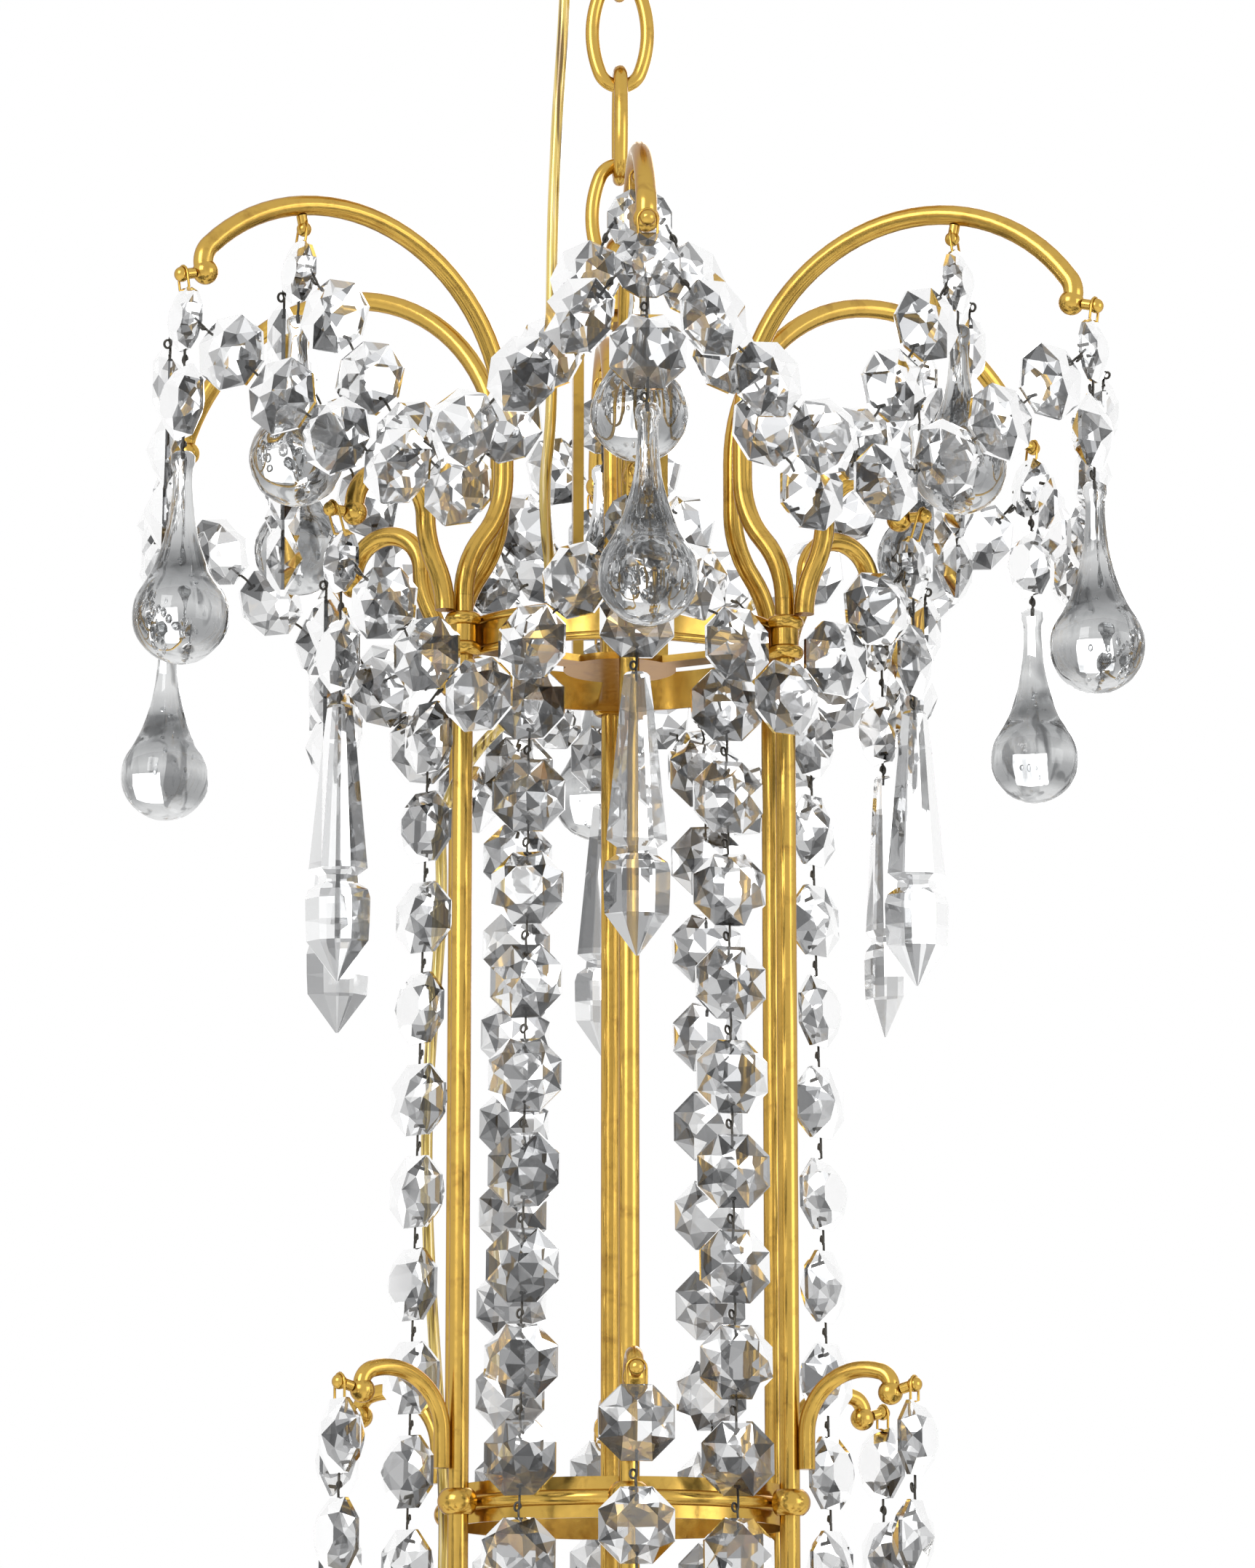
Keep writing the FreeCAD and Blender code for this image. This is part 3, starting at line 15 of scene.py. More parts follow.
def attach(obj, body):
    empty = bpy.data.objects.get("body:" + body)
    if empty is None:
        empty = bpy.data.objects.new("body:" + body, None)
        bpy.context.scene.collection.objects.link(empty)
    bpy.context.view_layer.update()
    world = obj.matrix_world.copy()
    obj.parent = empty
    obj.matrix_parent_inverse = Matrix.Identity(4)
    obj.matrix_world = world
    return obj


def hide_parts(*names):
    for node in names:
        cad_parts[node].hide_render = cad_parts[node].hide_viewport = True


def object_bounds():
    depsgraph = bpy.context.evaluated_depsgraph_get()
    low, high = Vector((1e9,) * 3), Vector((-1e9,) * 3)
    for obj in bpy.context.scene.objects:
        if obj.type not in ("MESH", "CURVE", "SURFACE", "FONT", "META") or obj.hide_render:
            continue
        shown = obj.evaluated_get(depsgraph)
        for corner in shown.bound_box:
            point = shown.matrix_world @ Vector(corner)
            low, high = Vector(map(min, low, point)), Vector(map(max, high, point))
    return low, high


bl_info = {
    "name": "Crystal cage chandelier",
    "version": (1, 0, 0),
    "blender": (4, 5, 0),
    "location": "View3D > Sidebar > Chandelier",
    "description": "Dresses the chandelier's CAD frame with cut crystal, gilt brass and its cord",
    "category": "Object",
}

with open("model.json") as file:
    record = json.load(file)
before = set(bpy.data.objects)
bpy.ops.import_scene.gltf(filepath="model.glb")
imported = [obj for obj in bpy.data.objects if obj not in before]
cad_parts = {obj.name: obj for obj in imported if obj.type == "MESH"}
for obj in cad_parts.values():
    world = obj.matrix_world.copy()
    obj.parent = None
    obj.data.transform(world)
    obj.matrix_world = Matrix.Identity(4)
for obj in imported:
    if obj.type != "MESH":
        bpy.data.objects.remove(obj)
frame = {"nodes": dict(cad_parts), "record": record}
CAD_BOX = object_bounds()
NODES = frame["nodes"]
RING_DROP = 0.3057  # ceiling face to the middle of the upper ring

CAMERA_LENS = 128.1
CAMERA_PITCH = math.radians(11.4)  # looking up
CAMERA_HEADING = (0.0513, 0.9987)
CAMERA_PLACE = (-0.0772, -1.5462, -0.3490 - RING_DROP)
LIGHTS = (
    # name, place, width, power
    ("key_light", (-1.5, -1.9, 0.6), 1.3, 26.0),
    ("fill_light", (1.9, -1.4, -0.2), 1.4, 12.0),
    ("back_light", (0.5, 1.9, 0.5), 1.2, 16.0),
)
LIGHTS_AIM = Vector((0, 0, -0.4))
WORLD_LIGHT = 0.62  # strength as light; it is 1 to the eye and in reflections
FLOOR_HALF, FLOOR_BELOW, FLOOR_GLOW = 6.0, 0.9, 0.5

CORD_ROUTE = (
    (-15.0, 1.8, 271.6), (-15.1, 2.3, 236.0), (-15.8, 2.8, 196.0), (-18.7, 3.4, 152.0),
    (-19.7, 4.0, 108.0), (-19.1, 5.0, 72.0), (-22.0, 6.1, 48.0), (-18.2, 7.9, 16.0),
    (-21.5, 11.1, -8.0), (-39.3, 15.5, -22.0), (-50.7, 17.6, -42.0), (-49.6, 18.0, -66.0),
    (-51.0, 17.6, -90.0), (-53.4, 17.7, -118.0), (-53.7, 17.7, -150.0), (-52.0, 17.6, -182.0),
    (-49.6, 17.5, -212.0), (-47.8, 17.4, -238.0), (-48.1, 17.4, -264.0), (-48.7, 17.9, -300.0),
    (-47.2, 17.4, -338.0), (-44.0, 16.0, -364.0), (-33.0, 12.5, -380.0), (-30.0, 10.0, -396.9),
)

BRASS_NODES = (
    "canopy", "canopy_loop", "loop_nut", "chain_link_1", "chain_link_2", "chain_link_3",
    "chain_link_4", "chain_link_5", "suspension_eye", "yoke_strap", "ring_spider",
    "upper_ring", "upper_collars", "cage_rods", "scroll_arms", "short_scroll_arms",
    "small_arms", "hook_knobs", "mid_ring", "mid_collars", "lower_ring", "lower_collars",
    "lamp_drum", "lamp_arms", "drip_pans", "candle_cups", "bottom_finial",
)

# Crystals: rings are (radius, depth behind the girdle's middle, shift), from the table back.
# A girdle's own ring pair is at half its thickness, before and behind.
OCTAGON_SIDES = 8
OCTAGON_TABLE = ((0.00568, -0.0046, 0.5), (0.0082, -0.0031, 0.0))
OCTAGON_REACH = 0.01082
OCTAGON_PAVILION = (0.0052, 0.0036, 0.0)
OCTAGON_BACK = 0.0056
OCTAGON_GIRDLE = (33, 41)  # which of its faces are the girdle's
OCTAGON_HOLES = 2
OCTAGON_HOLE_REACH = 0.0077  # middle of an octagon to its drilled holes
OCTAGON_CORNERS = 17  # corners of an octagon's CAD solid
ROSETTE_SIDES = 12
ROSETTE_TABLE = ((0.00435, -0.0032, 0.5), (0.0065, -0.0021, 0.0))
ROSETTE_REACH = 0.00905
ROSETTE_PAVILION = (0.0045, 0.0024, 0.0)
ROSETTE_BACK = 0.0036
ROSETTE_GIRDLE = (49, 61)
ROSETTE_HOLES = 4
ROSETTE_HOLE_REACH = 0.0066
HOLE_RADIUS = 0.0005
HOLE_FRONT, HOLE_BACK = 0.0017, 0.0015  # how far a hole's mark shows on each side
# Painted reflection greys: each facet and table of a cut crystal carries one as its colour, in
# place of the room it mirrors.
FACET_GREYS = (0.18, 0.36, 0.52, 0.66, 0.78, 0.9, 1.0, 1.0)
TABLE_GREYS = (0.55, 0.75, 0.95, 1.0)
SPEAR_CLEAR = 0.42  # least painted grey of a spear's facets, clearer than the octagons

ARMS = 6
DROP_BELLY = 0.0132  # radius of a teardrop's round end
BUBBLE_RADII = (0.00018, 0.00055)
BUBBLES_FROM = 0.45  # the first one's place down the drop, as a share of its length
BUBBLES_END = 0.004  # the last one's distance from the lowest point
BELLY_FROM_END = 0.02
BUBBLES_IN_BELLY, BUBBLES_IN_NECK = 0.0065, 0.0025  # how far out they lie
PIN_CORNERS = 6  # corners of a pin's CAD solid
LONG_PIN = 0.0085  # a pin longer than this has an eye
HOOK_SEEK = 0.0026  # a pin that ends this near a knob is a gilt hook
HOOK_WIDTH = 0.0026
HOOK_UP, HOOK_DOWN = 0.0046, 0.0026  # how far a hook reaches past its pin
WIRE_SIDES = 6

STRINGS = ("outer_garlands", "inner_garlands", "lower_garlands", "bay_strings", "side_strings")


# ---------------------------------------------------------------- sizes and colours


class ChandelierSizes(bpy.types.PropertyGroup):
    """Lengths that shape the crystals and pins."""

    girdle: bpy.props.FloatProperty(
        name="Girdle", description="Thickness of a cut crystal's edge",
        default=0.0011, min=0.0, unit="LENGTH", subtype="DISTANCE")
    pin_wire: bpy.props.FloatProperty(
        name="Pin wire", description="Radius of the wire of the pins",
        default=0.00036, min=0.0001, unit="LENGTH", subtype="DISTANCE")
    pin_reach: bpy.props.FloatProperty(
        name="Pin reach", description="How far a pin's loop reaches into the crystals it joins",
        default=0.0024, min=0.0, unit="LENGTH", subtype="DISTANCE")
    pin_width: bpy.props.FloatProperty(
        name="Pin width", description="Half the width of a pin's loop",
        default=0.00085, min=0.0002, unit="LENGTH", subtype="DISTANCE")
    wobble: bpy.props.FloatProperty(
        name="Wobble", description="Unevenness of a hand-drawn teardrop",
        default=0.00035, min=0.0, unit="LENGTH", subtype="DISTANCE")
    bubbles: bpy.props.IntProperty(
        name="Bubbles", description="Air bubbles in each teardrop", default=14, min=0)
    cord: bpy.props.FloatProperty(
        name="Cord", description="Diameter of the supply cord",
        default=0.0034, min=0.001, unit="LENGTH", subtype="DISTANCE")


class ChandelierColours(bpy.types.PropertyGroup):
    """Colours of the finishes."""

    gilt: bpy.props.FloatVectorProperty(
        name="Gilt", description="Bright gilding", default=(0.55, 0.34, 0.055),
        min=0, max=1, size=3, subtype="COLOR")
    worn: bpy.props.FloatVectorProperty(
        name="Worn gilt", description="Darker, rubbed gilding", default=(0.30, 0.155, 0.014),
        min=0, max=1, size=3, subtype="COLOR")
    wire: bpy.props.FloatVectorProperty(
        name="Wire", description="Tarnished steel pins", default=(0.075, 0.07, 0.062),
        min=0, max=1, size=3, subtype="COLOR")
    candle: bpy.props.FloatVectorProperty(
        name="Candle", description="Candle sleeves", default=(0.9, 0.86, 0.74),
        min=0, max=1, size=3, subtype="COLOR")
    cord: bpy.props.FloatVectorProperty(
        name="Cord", description="Tinted clear jacket of the supply cord",
        default=(0.76, 0.56, 0.13), min=0, max=1, size=3, subtype="COLOR")


# ---------------------------------------------------------------- material helpers


def new_material(name):
    """A material with an empty node tree but for its Principled shader and output."""
    material = bpy.data.materials.new(name + "_finish")
    material.use_nodes = True
    tree = material.node_tree
    return material, tree, tree.nodes["Principled BSDF"]


def add(tree, kind, **values):
    """A node with named sockets or properties set."""
    node = tree.nodes.new(kind)
    for key, value in values.items():
        if key in node.inputs:
            node.inputs[key].default_value = value
        else:
            setattr(node, key, value)
    return node


def ramp(tree, factor, stops):
    """Colour ramp over a factor; stops are (place, colour)."""
    node = tree.nodes.new("ShaderNodeValToRGB")
    elements = node.color_ramp.elements
    while len(elements) < len(stops):
        elements.new(0.5)
    for element, (place, colour) in zip(elements, stops):
        element.position = place
        element.color = (*colour, 1) if len(colour) == 3 else colour
    tree.links.new(factor, node.inputs["Fac"])
    return node.outputs["Color"]


def cloud(tree, scale, detail=4.0, roughness=0.55, distortion=0.0):
    """Noise in the object's own coordinates."""
    place = add(tree, "ShaderNodeTexCoord")
    node = add(tree, "ShaderNodeTexNoise", Scale=scale, Detail=detail, Roughness=roughness,
               Distortion=distortion)
    tree.links.new(place.outputs["Object"], node.inputs["Vector"])
    return node.outputs["Fac"]


def streaks(tree, along, **values):
    """Noise that is drawn out along Z."""
    place = add(tree, "ShaderNodeTexCoord")
    stretch = add(tree, "ShaderNodeMapping")
    stretch.inputs["Scale"].default_value = (1.0, 1.0, along)
    tree.links.new(place.outputs["Object"], stretch.inputs["Vector"])
    node = add(tree, "ShaderNodeTexNoise", **values)
    tree.links.new(stretch.outputs["Vector"], node.inputs["Vector"])
    return node.outputs["Fac"]


def bump(tree, shader, height, strength, distance):
    """Bump from a height."""
    node = add(tree, "ShaderNodeBump", Strength=strength, Distance=distance)
    tree.links.new(height, node.inputs["Height"])
    tree.links.new(node.outputs["Normal"], shader.inputs["Normal"])


def gilt_brass(colours):
    """Satin gilding, mottled where it has been handled and darkened in spots."""
    material, tree, shader = new_material("gilt_brass")
    shader.inputs["Metallic"].default_value = 0.95
    shader.inputs["Specular Tint"].default_value = (0.44, 0.28, 0.06, 1)
    shader.inputs["Coat Weight"].default_value = 0.6
    shader.inputs["Coat Roughness"].default_value = 0.22
    mottle = cloud(tree, 150.0, 6.0, 0.6, 0.4)
    bright, worn = tuple(colours.gilt), tuple(colours.worn)
    middle = tuple(0.55 * a + 0.45 * b for a, b in zip(bright, worn))
    colour = ramp(tree, mottle, ((0.22, worn), (0.34, middle), (0.46, bright)))
    tree.links.new(colour, shader.inputs["Base Color"])
    sheen = ramp(tree, cloud(tree, 420.0, 3.0), ((0.3, (0.15,) * 3), (0.75, (0.27,) * 3)))
    tree.links.new(sheen, shader.inputs["Roughness"])
    bump(tree, shader, mottle, 0.08, 0.0001)
    return material


def cut_crystal(colours):
    """Lead crystal whose facets each carry their own painted grey, a painted reflection of the
    room.
    """
    material, tree, shader = new_material("cut_crystal")
    facet = add(tree, "ShaderNodeAttribute", attribute_name="facet")
    # Painted reflections: the facet grey darkens or lightens the clear glass's colour facet by
    # facet.
    tint = ramp(tree, facet.outputs["Fac"], (
        (0.0, (0.006, 0.0065, 0.007)), (0.3, (0.05, 0.051, 0.053)), (0.55, (0.23, 0.233, 0.238)),
        (0.78, (0.58, 0.585, 0.59)), (1.0, (0.97, 0.975, 0.98))))
    tree.links.new(tint, shader.inputs["Base Color"])
    shader.inputs["Transmission Weight"].default_value = 0.9
    shader.inputs["Roughness"].default_value = 0.03
    shader.inputs["IOR"].default_value = 1.25
    shader.inputs["Coat Weight"].default_value = 0.7
    shader.inputs["Coat Roughness"].default_value = 0.02
    return material


def drawn_glass(colours):
    """Hand-drawn clear glass with streaks, and painted refraction greys down its length."""
    material, tree, shader = new_material("drawn_glass")
    streak = streaks(tree, 0.22, Scale=210.0, Detail=1.5, Distortion=0.6)
    tint = ramp(tree, streak, (
        (0.36, (0.24, 0.245, 0.25)), (0.44, (0.9, 0.91, 0.91)), (0.7, (1, 1, 1))))
    # Painted refraction greys down the drop, read from its facet attribute, darken the glass's
    # colour.
    depth = add(tree, "ShaderNodeAttribute", attribute_name="facet")
    grey = ramp(tree, depth.outputs["Fac"], (
        (0.0, (0.02, 0.021, 0.022)), (0.5, (0.3, 0.305, 0.31)), (1.0, (1, 1, 1))))
    both = add(tree, "ShaderNodeMix", data_type="RGBA", blend_type="MULTIPLY")
    both.inputs["Factor"].default_value = 1.0
    tree.links.new(grey, both.inputs[6])
    tree.links.new(tint, both.inputs[7])
    tree.links.new(both.outputs[2], shader.inputs["Base Color"])
    shader.inputs["Transmission Weight"].default_value = 1.0
    shader.inputs["Roughness"].default_value = 0.02
    shader.inputs["IOR"].default_value = 1.5
    bump(tree, shader, streak, 0.36, 0.0006)
    return material


def bubble_glass(colours):
    """Air bubble inside glass, seen as a dark-rimmed bead."""
    material, tree, shader = new_material("bubble")
    shader.inputs["Base Color"].default_value = (0.78, 0.79, 0.8, 1)
    shader.inputs["Transmission Weight"].default_value = 1.0
    shader.inputs["Roughness"].default_value = 0.0
    shader.inputs["IOR"].default_value = 1.2
    return material


def steel_wire(colours):
    """Steel wire, unevenly tarnished."""
    material, tree, shader = new_material("steel_wire")
    bright = tuple(colours.wire)
    dark = tuple(0.55 * c for c in bright)
    colour = ramp(tree, cloud(tree, 300.0), ((0.3, dark), (0.6, bright)))
    tree.links.new(colour, shader.inputs["Base Color"])
    shader.inputs["Metallic"].default_value = 1.0
    shader.inputs["Roughness"].default_value = 0.28
    return material


def clear_cord(colours):
    """Clear jacket over gilt strands, with streaks along its length: the strands' own colour, dark
    streaks of painted shade between them and pale streaks of painted highlight.
    """
    material, tree, shader = new_material("clear_cord")
    strand_shade_and_highlight = streaks(tree, 0.03, Scale=900.0, Detail=2.0, Distortion=0.3)
    light = tuple(colours.cord)
    dark = tuple(0.3 * c * c for c in light)
    pale = tuple(min(1.0, 0.35 + 0.75 * c) for c in light)
    # The dark stop is painted shade between the strands, the pale stop a painted highlight.
    colour = ramp(tree, strand_shade_and_highlight, ((0.36, dark), (0.46, light), (0.56, light), (0.64, pale)))
    tree.links.new(colour, shader.inputs["Base Color"])
    shader.inputs["Roughness"].default_value = 0.18
    shader.inputs["Coat Weight"].default_value = 0.8
    shader.inputs["Metallic"].default_value = 0.35
    return material


def plain_finish(name, colour, roughness, grain, depth, metallic=0.0, transmission=0.0):
    """A moulded or drawn surface with a fine grain."""
    material, tree, shader = new_material(name)
    tone = cloud(tree, grain, 4.0)
    dark = tuple(0.86 * c for c in colour)
    shade = ramp(tree, tone, ((0.35, dark), (0.62, tuple(colour))))
    tree.links.new(shade, shader.inputs["Base Color"])
    shader.inputs["Roughness"].default_value = roughness
    shader.inputs["Metallic"].default_value = metallic
    shader.inputs["Transmission Weight"].default_value = transmission
    bump(tree, shader, tone, 0.3, depth)
    return material


FINISHES = {
    "gilt_brass": gilt_brass,
    "cut_crystal": cut_crystal,
    "drawn_glass": drawn_glass,
    "bubble": bubble_glass,
    "steel_wire": steel_wire,
    "clear_cord": clear_cord,
}
PLAIN_FINISHES = {
    # colour, roughness, grain's scale and depth, metallic, transmission
    "steel_bar": ((0.6, 0.61, 0.62), 0.38, 220.0, 0.0002, 1.0, 0.0),
    "socket_plastic": ((0.06, 0.06, 0.06), 0.5, 300.0, 0.0002, 0.0, 0.0),
    "bulb_glass": ((0.98, 0.98, 0.97), 0.04, 30.0, 0.0001, 0.0, 0.92),
}


def material_of(name):
    """A finish by its name, made the first time it is asked for."""
    found = bpy.data.materials.get(name + "_finish")
    if found:
        return found
    colours = bpy.context.scene.chandelier_colours
    if name in FINISHES:
        return FINISHES[name](colours)
    if name == "candle_white":
        return plain_finish(name, colours.candle, 0.45, 60.0, 0.0003)
    return plain_finish(name, *PLAIN_FINISHES[name])


# ---------------------------------------------------------------- reading the frame


def solids_of(node):
    """Corner points of each separate solid of a CAD node, every point once."""
    mesh = NODES[node].data
    numbers, points, ids = {}, [], []
    for vertex in mesh.vertices:
        key = tuple(round(c * 1e6) for c in vertex.co)
        if key not in numbers:
            numbers[key] = len(points)
            points.append(np.array(vertex.co, float))
        ids.append(numbers[key])
    parent = list(range(len(points)))

    def root(item):
        while parent[item] != item:
            parent[item] = parent[parent[item]]
            item = parent[item]
        return item

    for polygon in mesh.polygons:
        corners = [root(ids[v]) for v in polygon.vertices]
        for corner in corners[1:]:
            parent[root(corner)] = root(corners[0])
    groups = {}
    for number, point in enumerate(points):
        groups.setdefault(root(number), []).append(point)
    return [np.array(group) for group in groups.values()]


def flat_frame(points, sides):
    """Middle of a cut crystal's girdle, and the directions of its table and its flats."""
    centre = points.mean(0)
    values, vectors = np.linalg.eigh(np.cov((points - centre).T))
    normal = vectors[:, 0]
    heights = (points - centre) @ normal
    if np.sum(heights > heights.max() - 1e-4) < 3:
        normal, heights = -normal, -heights
    apex = points[np.argmin(heights)]
    offsets = points - apex
    offsets -= np.outer(offsets @ normal, normal)
    reach = np.linalg.norm(offsets, axis=1)
    girdle = points[reach > 0.93 * reach.max()]
    middle = girdle.mean(0)
    first = girdle[0] - middle
    first /= np.linalg.norm(first)
    other = np.cross(normal, first)
    half = math.pi / sides
    turns = [half * (2 * i + 1) for i in range(sides)]
    flats = [math.cos(turn) * first + math.sin(turn) * other for turn in turns]
    return Vector(middle), Vector(normal), [Vector(flat) for flat in flats]


def placed(across, front, up, place):
    """Matrix that turns +X, -Y and +Z to three directions and moves the origin to a place."""
    return Matrix(((across.x, -front.x, up.x, place.x), (across.y, -front.y, up.y, place.y),
                   (across.z, -front.z, up.z, place.z), (0, 0, 0, 1)))


def stand(middle, front, up):
    """Matrix that puts a crystal drawn with -Y as its table and +Z as its top."""
    return placed(up.cross(front), front, up, middle)


def pin_ends(points):
    """Both ends of a three-sided pin."""
    first = points[0]
    order = np.argsort(np.linalg.norm(points - first, axis=1))
    return Vector(points[order[:3]].mean(0)), Vector(points[order[3:6]].mean(0))


# ---------------------------------------------------------------- meshes


class Facets:
    """Growing mesh whose faces each carry a facet value."""

    def __init__(self):
        self.points, self.faces, self.values = [], [], []

    def lay(self, points, faces, matrix, values):
        """Add one shape, moved by a matrix."""
        base = len(self.points)
        self.points += [tuple(matrix @ Vector(p)) for p in points]
        self.faces += [tuple(base + i for i in face) for face in faces]
        self.values += values

    def piece(self, name, material, smooth=False):
        """The finished object."""
        mesh = bpy.data.meshes.new(name)
        mesh.from_pydata(self.points, [], self.faces)
        each = "POINT" if len(self.values) == len(self.points) else "FACE"
        attribute = mesh.attributes.new("facet", "FLOAT", each)
        attribute.data.foreach_set("value", self.values)
        mesh.polygons.foreach_set("use_smooth", [smooth] * len(self.faces))
        mesh.update()
        piece = bpy.data.objects.new(name, mesh)
        bpy.context.scene.collection.objects.link(piece)
        piece.data.materials.append(material_of(material))
        return piece


def joined_rings(count, around, closed=False):
    """Four-sided faces between neighbouring rings of corners, and from the last to the first."""
    faces = []
    for level in range(count if closed else count - 1):
        near, far = level * around, (level + 1) % count * around
        for i in range(around):
            j = (i + 1) % around
            faces.append((near + i, near + j, far + j, far + i))
    return faces


def end_caps(total, around):
    """Faces that close the first and the last ring of corners."""
    return [tuple(range(around - 1, -1, -1)), tuple(range(total - around, total))]


def ring(sides, radius, depth, shift):
    """Corners round the Y axis; a shift of 0.5 puts a flat on top."""
    turns = [(i + shift) * 2 * math.pi / sides for i in range(sides)]
    return [(radius * math.sin(t), depth, radius * math.cos(t)) for t in turns]


def brilliant(sides, rings, back):
    """Crystal from its table through its rings to a point; rings are (radius, depth, shift)."""
    points, faces = [], []
    for radius, depth, shift in rings:
        points += ring(sides, radius, depth, shift)
    faces.append(tuple(range(sides)))
    for level in range(len(rings) - 1):
        near, far = level * sides, (level + 1) * sides
        shift_near, shift_far = rings[level][2], rings[level + 1][2]
        for i in range(sides):
            j = (i + 1) % sides
            if shift_near == shift_far:
                faces.append((near + i, far + i, far + j, near + j))
            elif shift_near > shift_far:
                faces.append((near + i, far + j, near + j))
                faces.append((near + i, far + i, far + j))
            else:
                faces.append((near + i, far + i, near + j))
                faces.append((near + j, far + i, far + j))
    points.append((0, back, 0))
    last = (len(rings) - 1) * sides
    faces += [(last + i, len(points) - 1, last + (i + 1) % sides) for i in range(sides)]
    return points, faces


def facet_values(faces, table, girdle, rng):
    """One painted reflection grey per facet: a light or grey table, a dark girdle of painted shade
    and strong greys between them.
    """
    values = [rng.choice(FACET_GREYS) * rng.uniform(0.88, 1) for _ in faces]
    values[:table] = [rng.choice(TABLE_GREYS)] * table
    # The girdle's painted shade draws each crystal's dark outline.
    for index in range(*girdle):
        values[index] = rng.uniform(0.35, 0.6)
    return values


def girdled(sides, table, reach, pavilion, back, edge):
    """Crystal with a girdle of a thickness between its table's rings and its pavilion."""
    girdle = ((reach, -edge / 2, 0.5), (reach, edge / 2, 0.5))
    return brilliant(sides, (*table, *girdle, pavilion), back)


def octagon_cut(edge):
    """Octagon crystal."""
    return girdled(OCTAGON_SIDES, OCTAGON_TABLE, OCTAGON_REACH, OCTAGON_PAVILION,
                   OCTAGON_BACK, edge)


def rosette_cut(edge):
    """Round button."""
    return girdled(ROSETTE_SIDES, ROSETTE_TABLE, ROSETTE_REACH, ROSETTE_PAVILION,
                   ROSETTE_BACK, edge)


SPEAR_LEVELS = (
    # down from the top, half width, depth over width
    (0.0, 0.0027, 0.6), (0.0008, 0.0035, 0.6), (0.0100, 0.0046, 0.55), (0.0440, 0.0080, 0.5),
    (0.0457, 0.0082, 0.5), (0.0477, 0.0054, 0.56), (0.0497, 0.0056, 0.56), (0.0516, 0.0083, 0.5),
    (0.0540, 0.0090, 0.5), (0.0600, 0.0089, 0.5), (0.0657, 0.0086, 0.5), (0.0768, 0.0004, 0.6),
)


def spear_cut():
    """Spear prism with a ridge down each face."""
    section = ((1, 0), (0.5, 0.86), (0, 1), (-0.5, 0.86),
               (-1, 0), (-0.5, -0.86), (0, -1), (0.5, -0.86))
    points = [(half * x, half * depth * y, -down)
              for down, half, depth in SPEAR_LEVELS for x, y in section]
    around = len(section)
    top, bottom = end_caps(len(points), around)
    return points, [top, *joined_rings(len(SPEAR_LEVELS), around), bottom]


def drop_profile(length):
    """Half-outline of a teardrop, from its head down to its lowest point."""
    head, neck, belly = 0.0033, 0.0027, DROP_BELLY
    middle = belly - length
    leave = math.radians(34)
    start = Vector((neck, -0.0060))
    meet = Vector((belly * math.cos(leave), middle + belly * math.sin(leave)))
    out = [(0.0008, 0.0), (0.0024, -0.0002), (head, -0.0012), (head, -0.0034),
           (neck + 0.0001, -0.0048)]
    one = Vector((neck, -0.0220))
    two = meet + 0.0076 * Vector((-math.sin(leave), math.cos(leave)))
    for i in range(25):
        t = i / 24
        place = ((1 - t) ** 3 * start + 3 * t * (1 - t) ** 2 * one + 3 * t * t * (1 - t) * two
                 + t ** 3 * meet)
        out.append(tuple(place))
    for i in range(1, 17):
        turn = leave - (leave + math.pi / 2) * i / 16
        out.append((max(belly * math.cos(turn), 0.0002), middle + belly * math.sin(turn)))
    return out


def drop_shape(length, wobble, seed):
    """Uneven teardrop of drawn glass."""
    around = 40
    outline = drop_profile(length)
    points = []
    for radius, height in outline:
        for i in range(around):
            turn = 2 * math.pi * i / around
            place = Vector((math.cos(turn) * radius, math.sin(turn) * radius, height))
            coarse = noise.noise(place * 120 + Vector((seed * 7.3, 0, 0)))
            push = min(coarse + 0.5 * noise.noise(place * 260), 0.2)
            fade = min(radius / 0.008, 1.0)
            outward = Vector((place.x, place.y, 0)).normalized()
            points.append(tuple(place + outward * push * wobble * fade))
    faces = joined_rings(len(outline), around) + end_caps(len(points), around)
    return points, [tuple(reversed(face)) for face in faces]


GLASS_GREYS = (
    # painted refraction greys: up from the lowest point over the belly's width, grey value
    (0.0, 0.95), (0.12, 0.7), (0.22, 0.2), (0.36, 0.42), (0.52, 0.85), (0.68, 0.6), (0.84, 0.34),
    (1.0, 0.26), (1.15, 0.55), (1.5, 0.82), (3.0, 0.88),
)


def drop_greys(points, length):
    """Painted greys down a teardrop, standing in for the room that thick glass shows upside down.
    """
    values = []
    for _, _, height in points:
        rise = (height + length) / (2 * DROP_BELLY)
        for (low, dark), (high, light) in zip(GLASS_GREYS, GLASS_GREYS[1:]):
            if rise <= high:
                break
        share = min(max((rise - low) / (high - low), 0), 1)
        values.append(dark + (light - dark) * share)
    return values


def bead_shape(radius, stretch):
    """Small round or long bubble."""
    around, levels = 10, 7
    points = [(0, 0, radius * stretch)]
    for level in range(1, levels):
        tilt = math.pi * level / levels
        for i in range(around):
            turn = 2 * math.pi * i / around
            points.append((
                radius * math.sin(tilt) * math.cos(turn), radius * math.sin(tilt) * math.sin(turn),
                radius * stretch * math.cos(tilt)))
    points.append((0, 0, -radius * stretch))
    faces = [(0, 1 + i, 1 + (i + 1) % around) for i in range(around)]
    for near, beside, across, far in joined_rings(levels - 1, around):
        faces.append((1 + near, 1 + far, 1 + across, 1 + beside))
    last = len(points) - 1
    base = last - around
    faces += [(base + i, last, base + (i + 1) % around) for i in range(around)]
    return points, faces


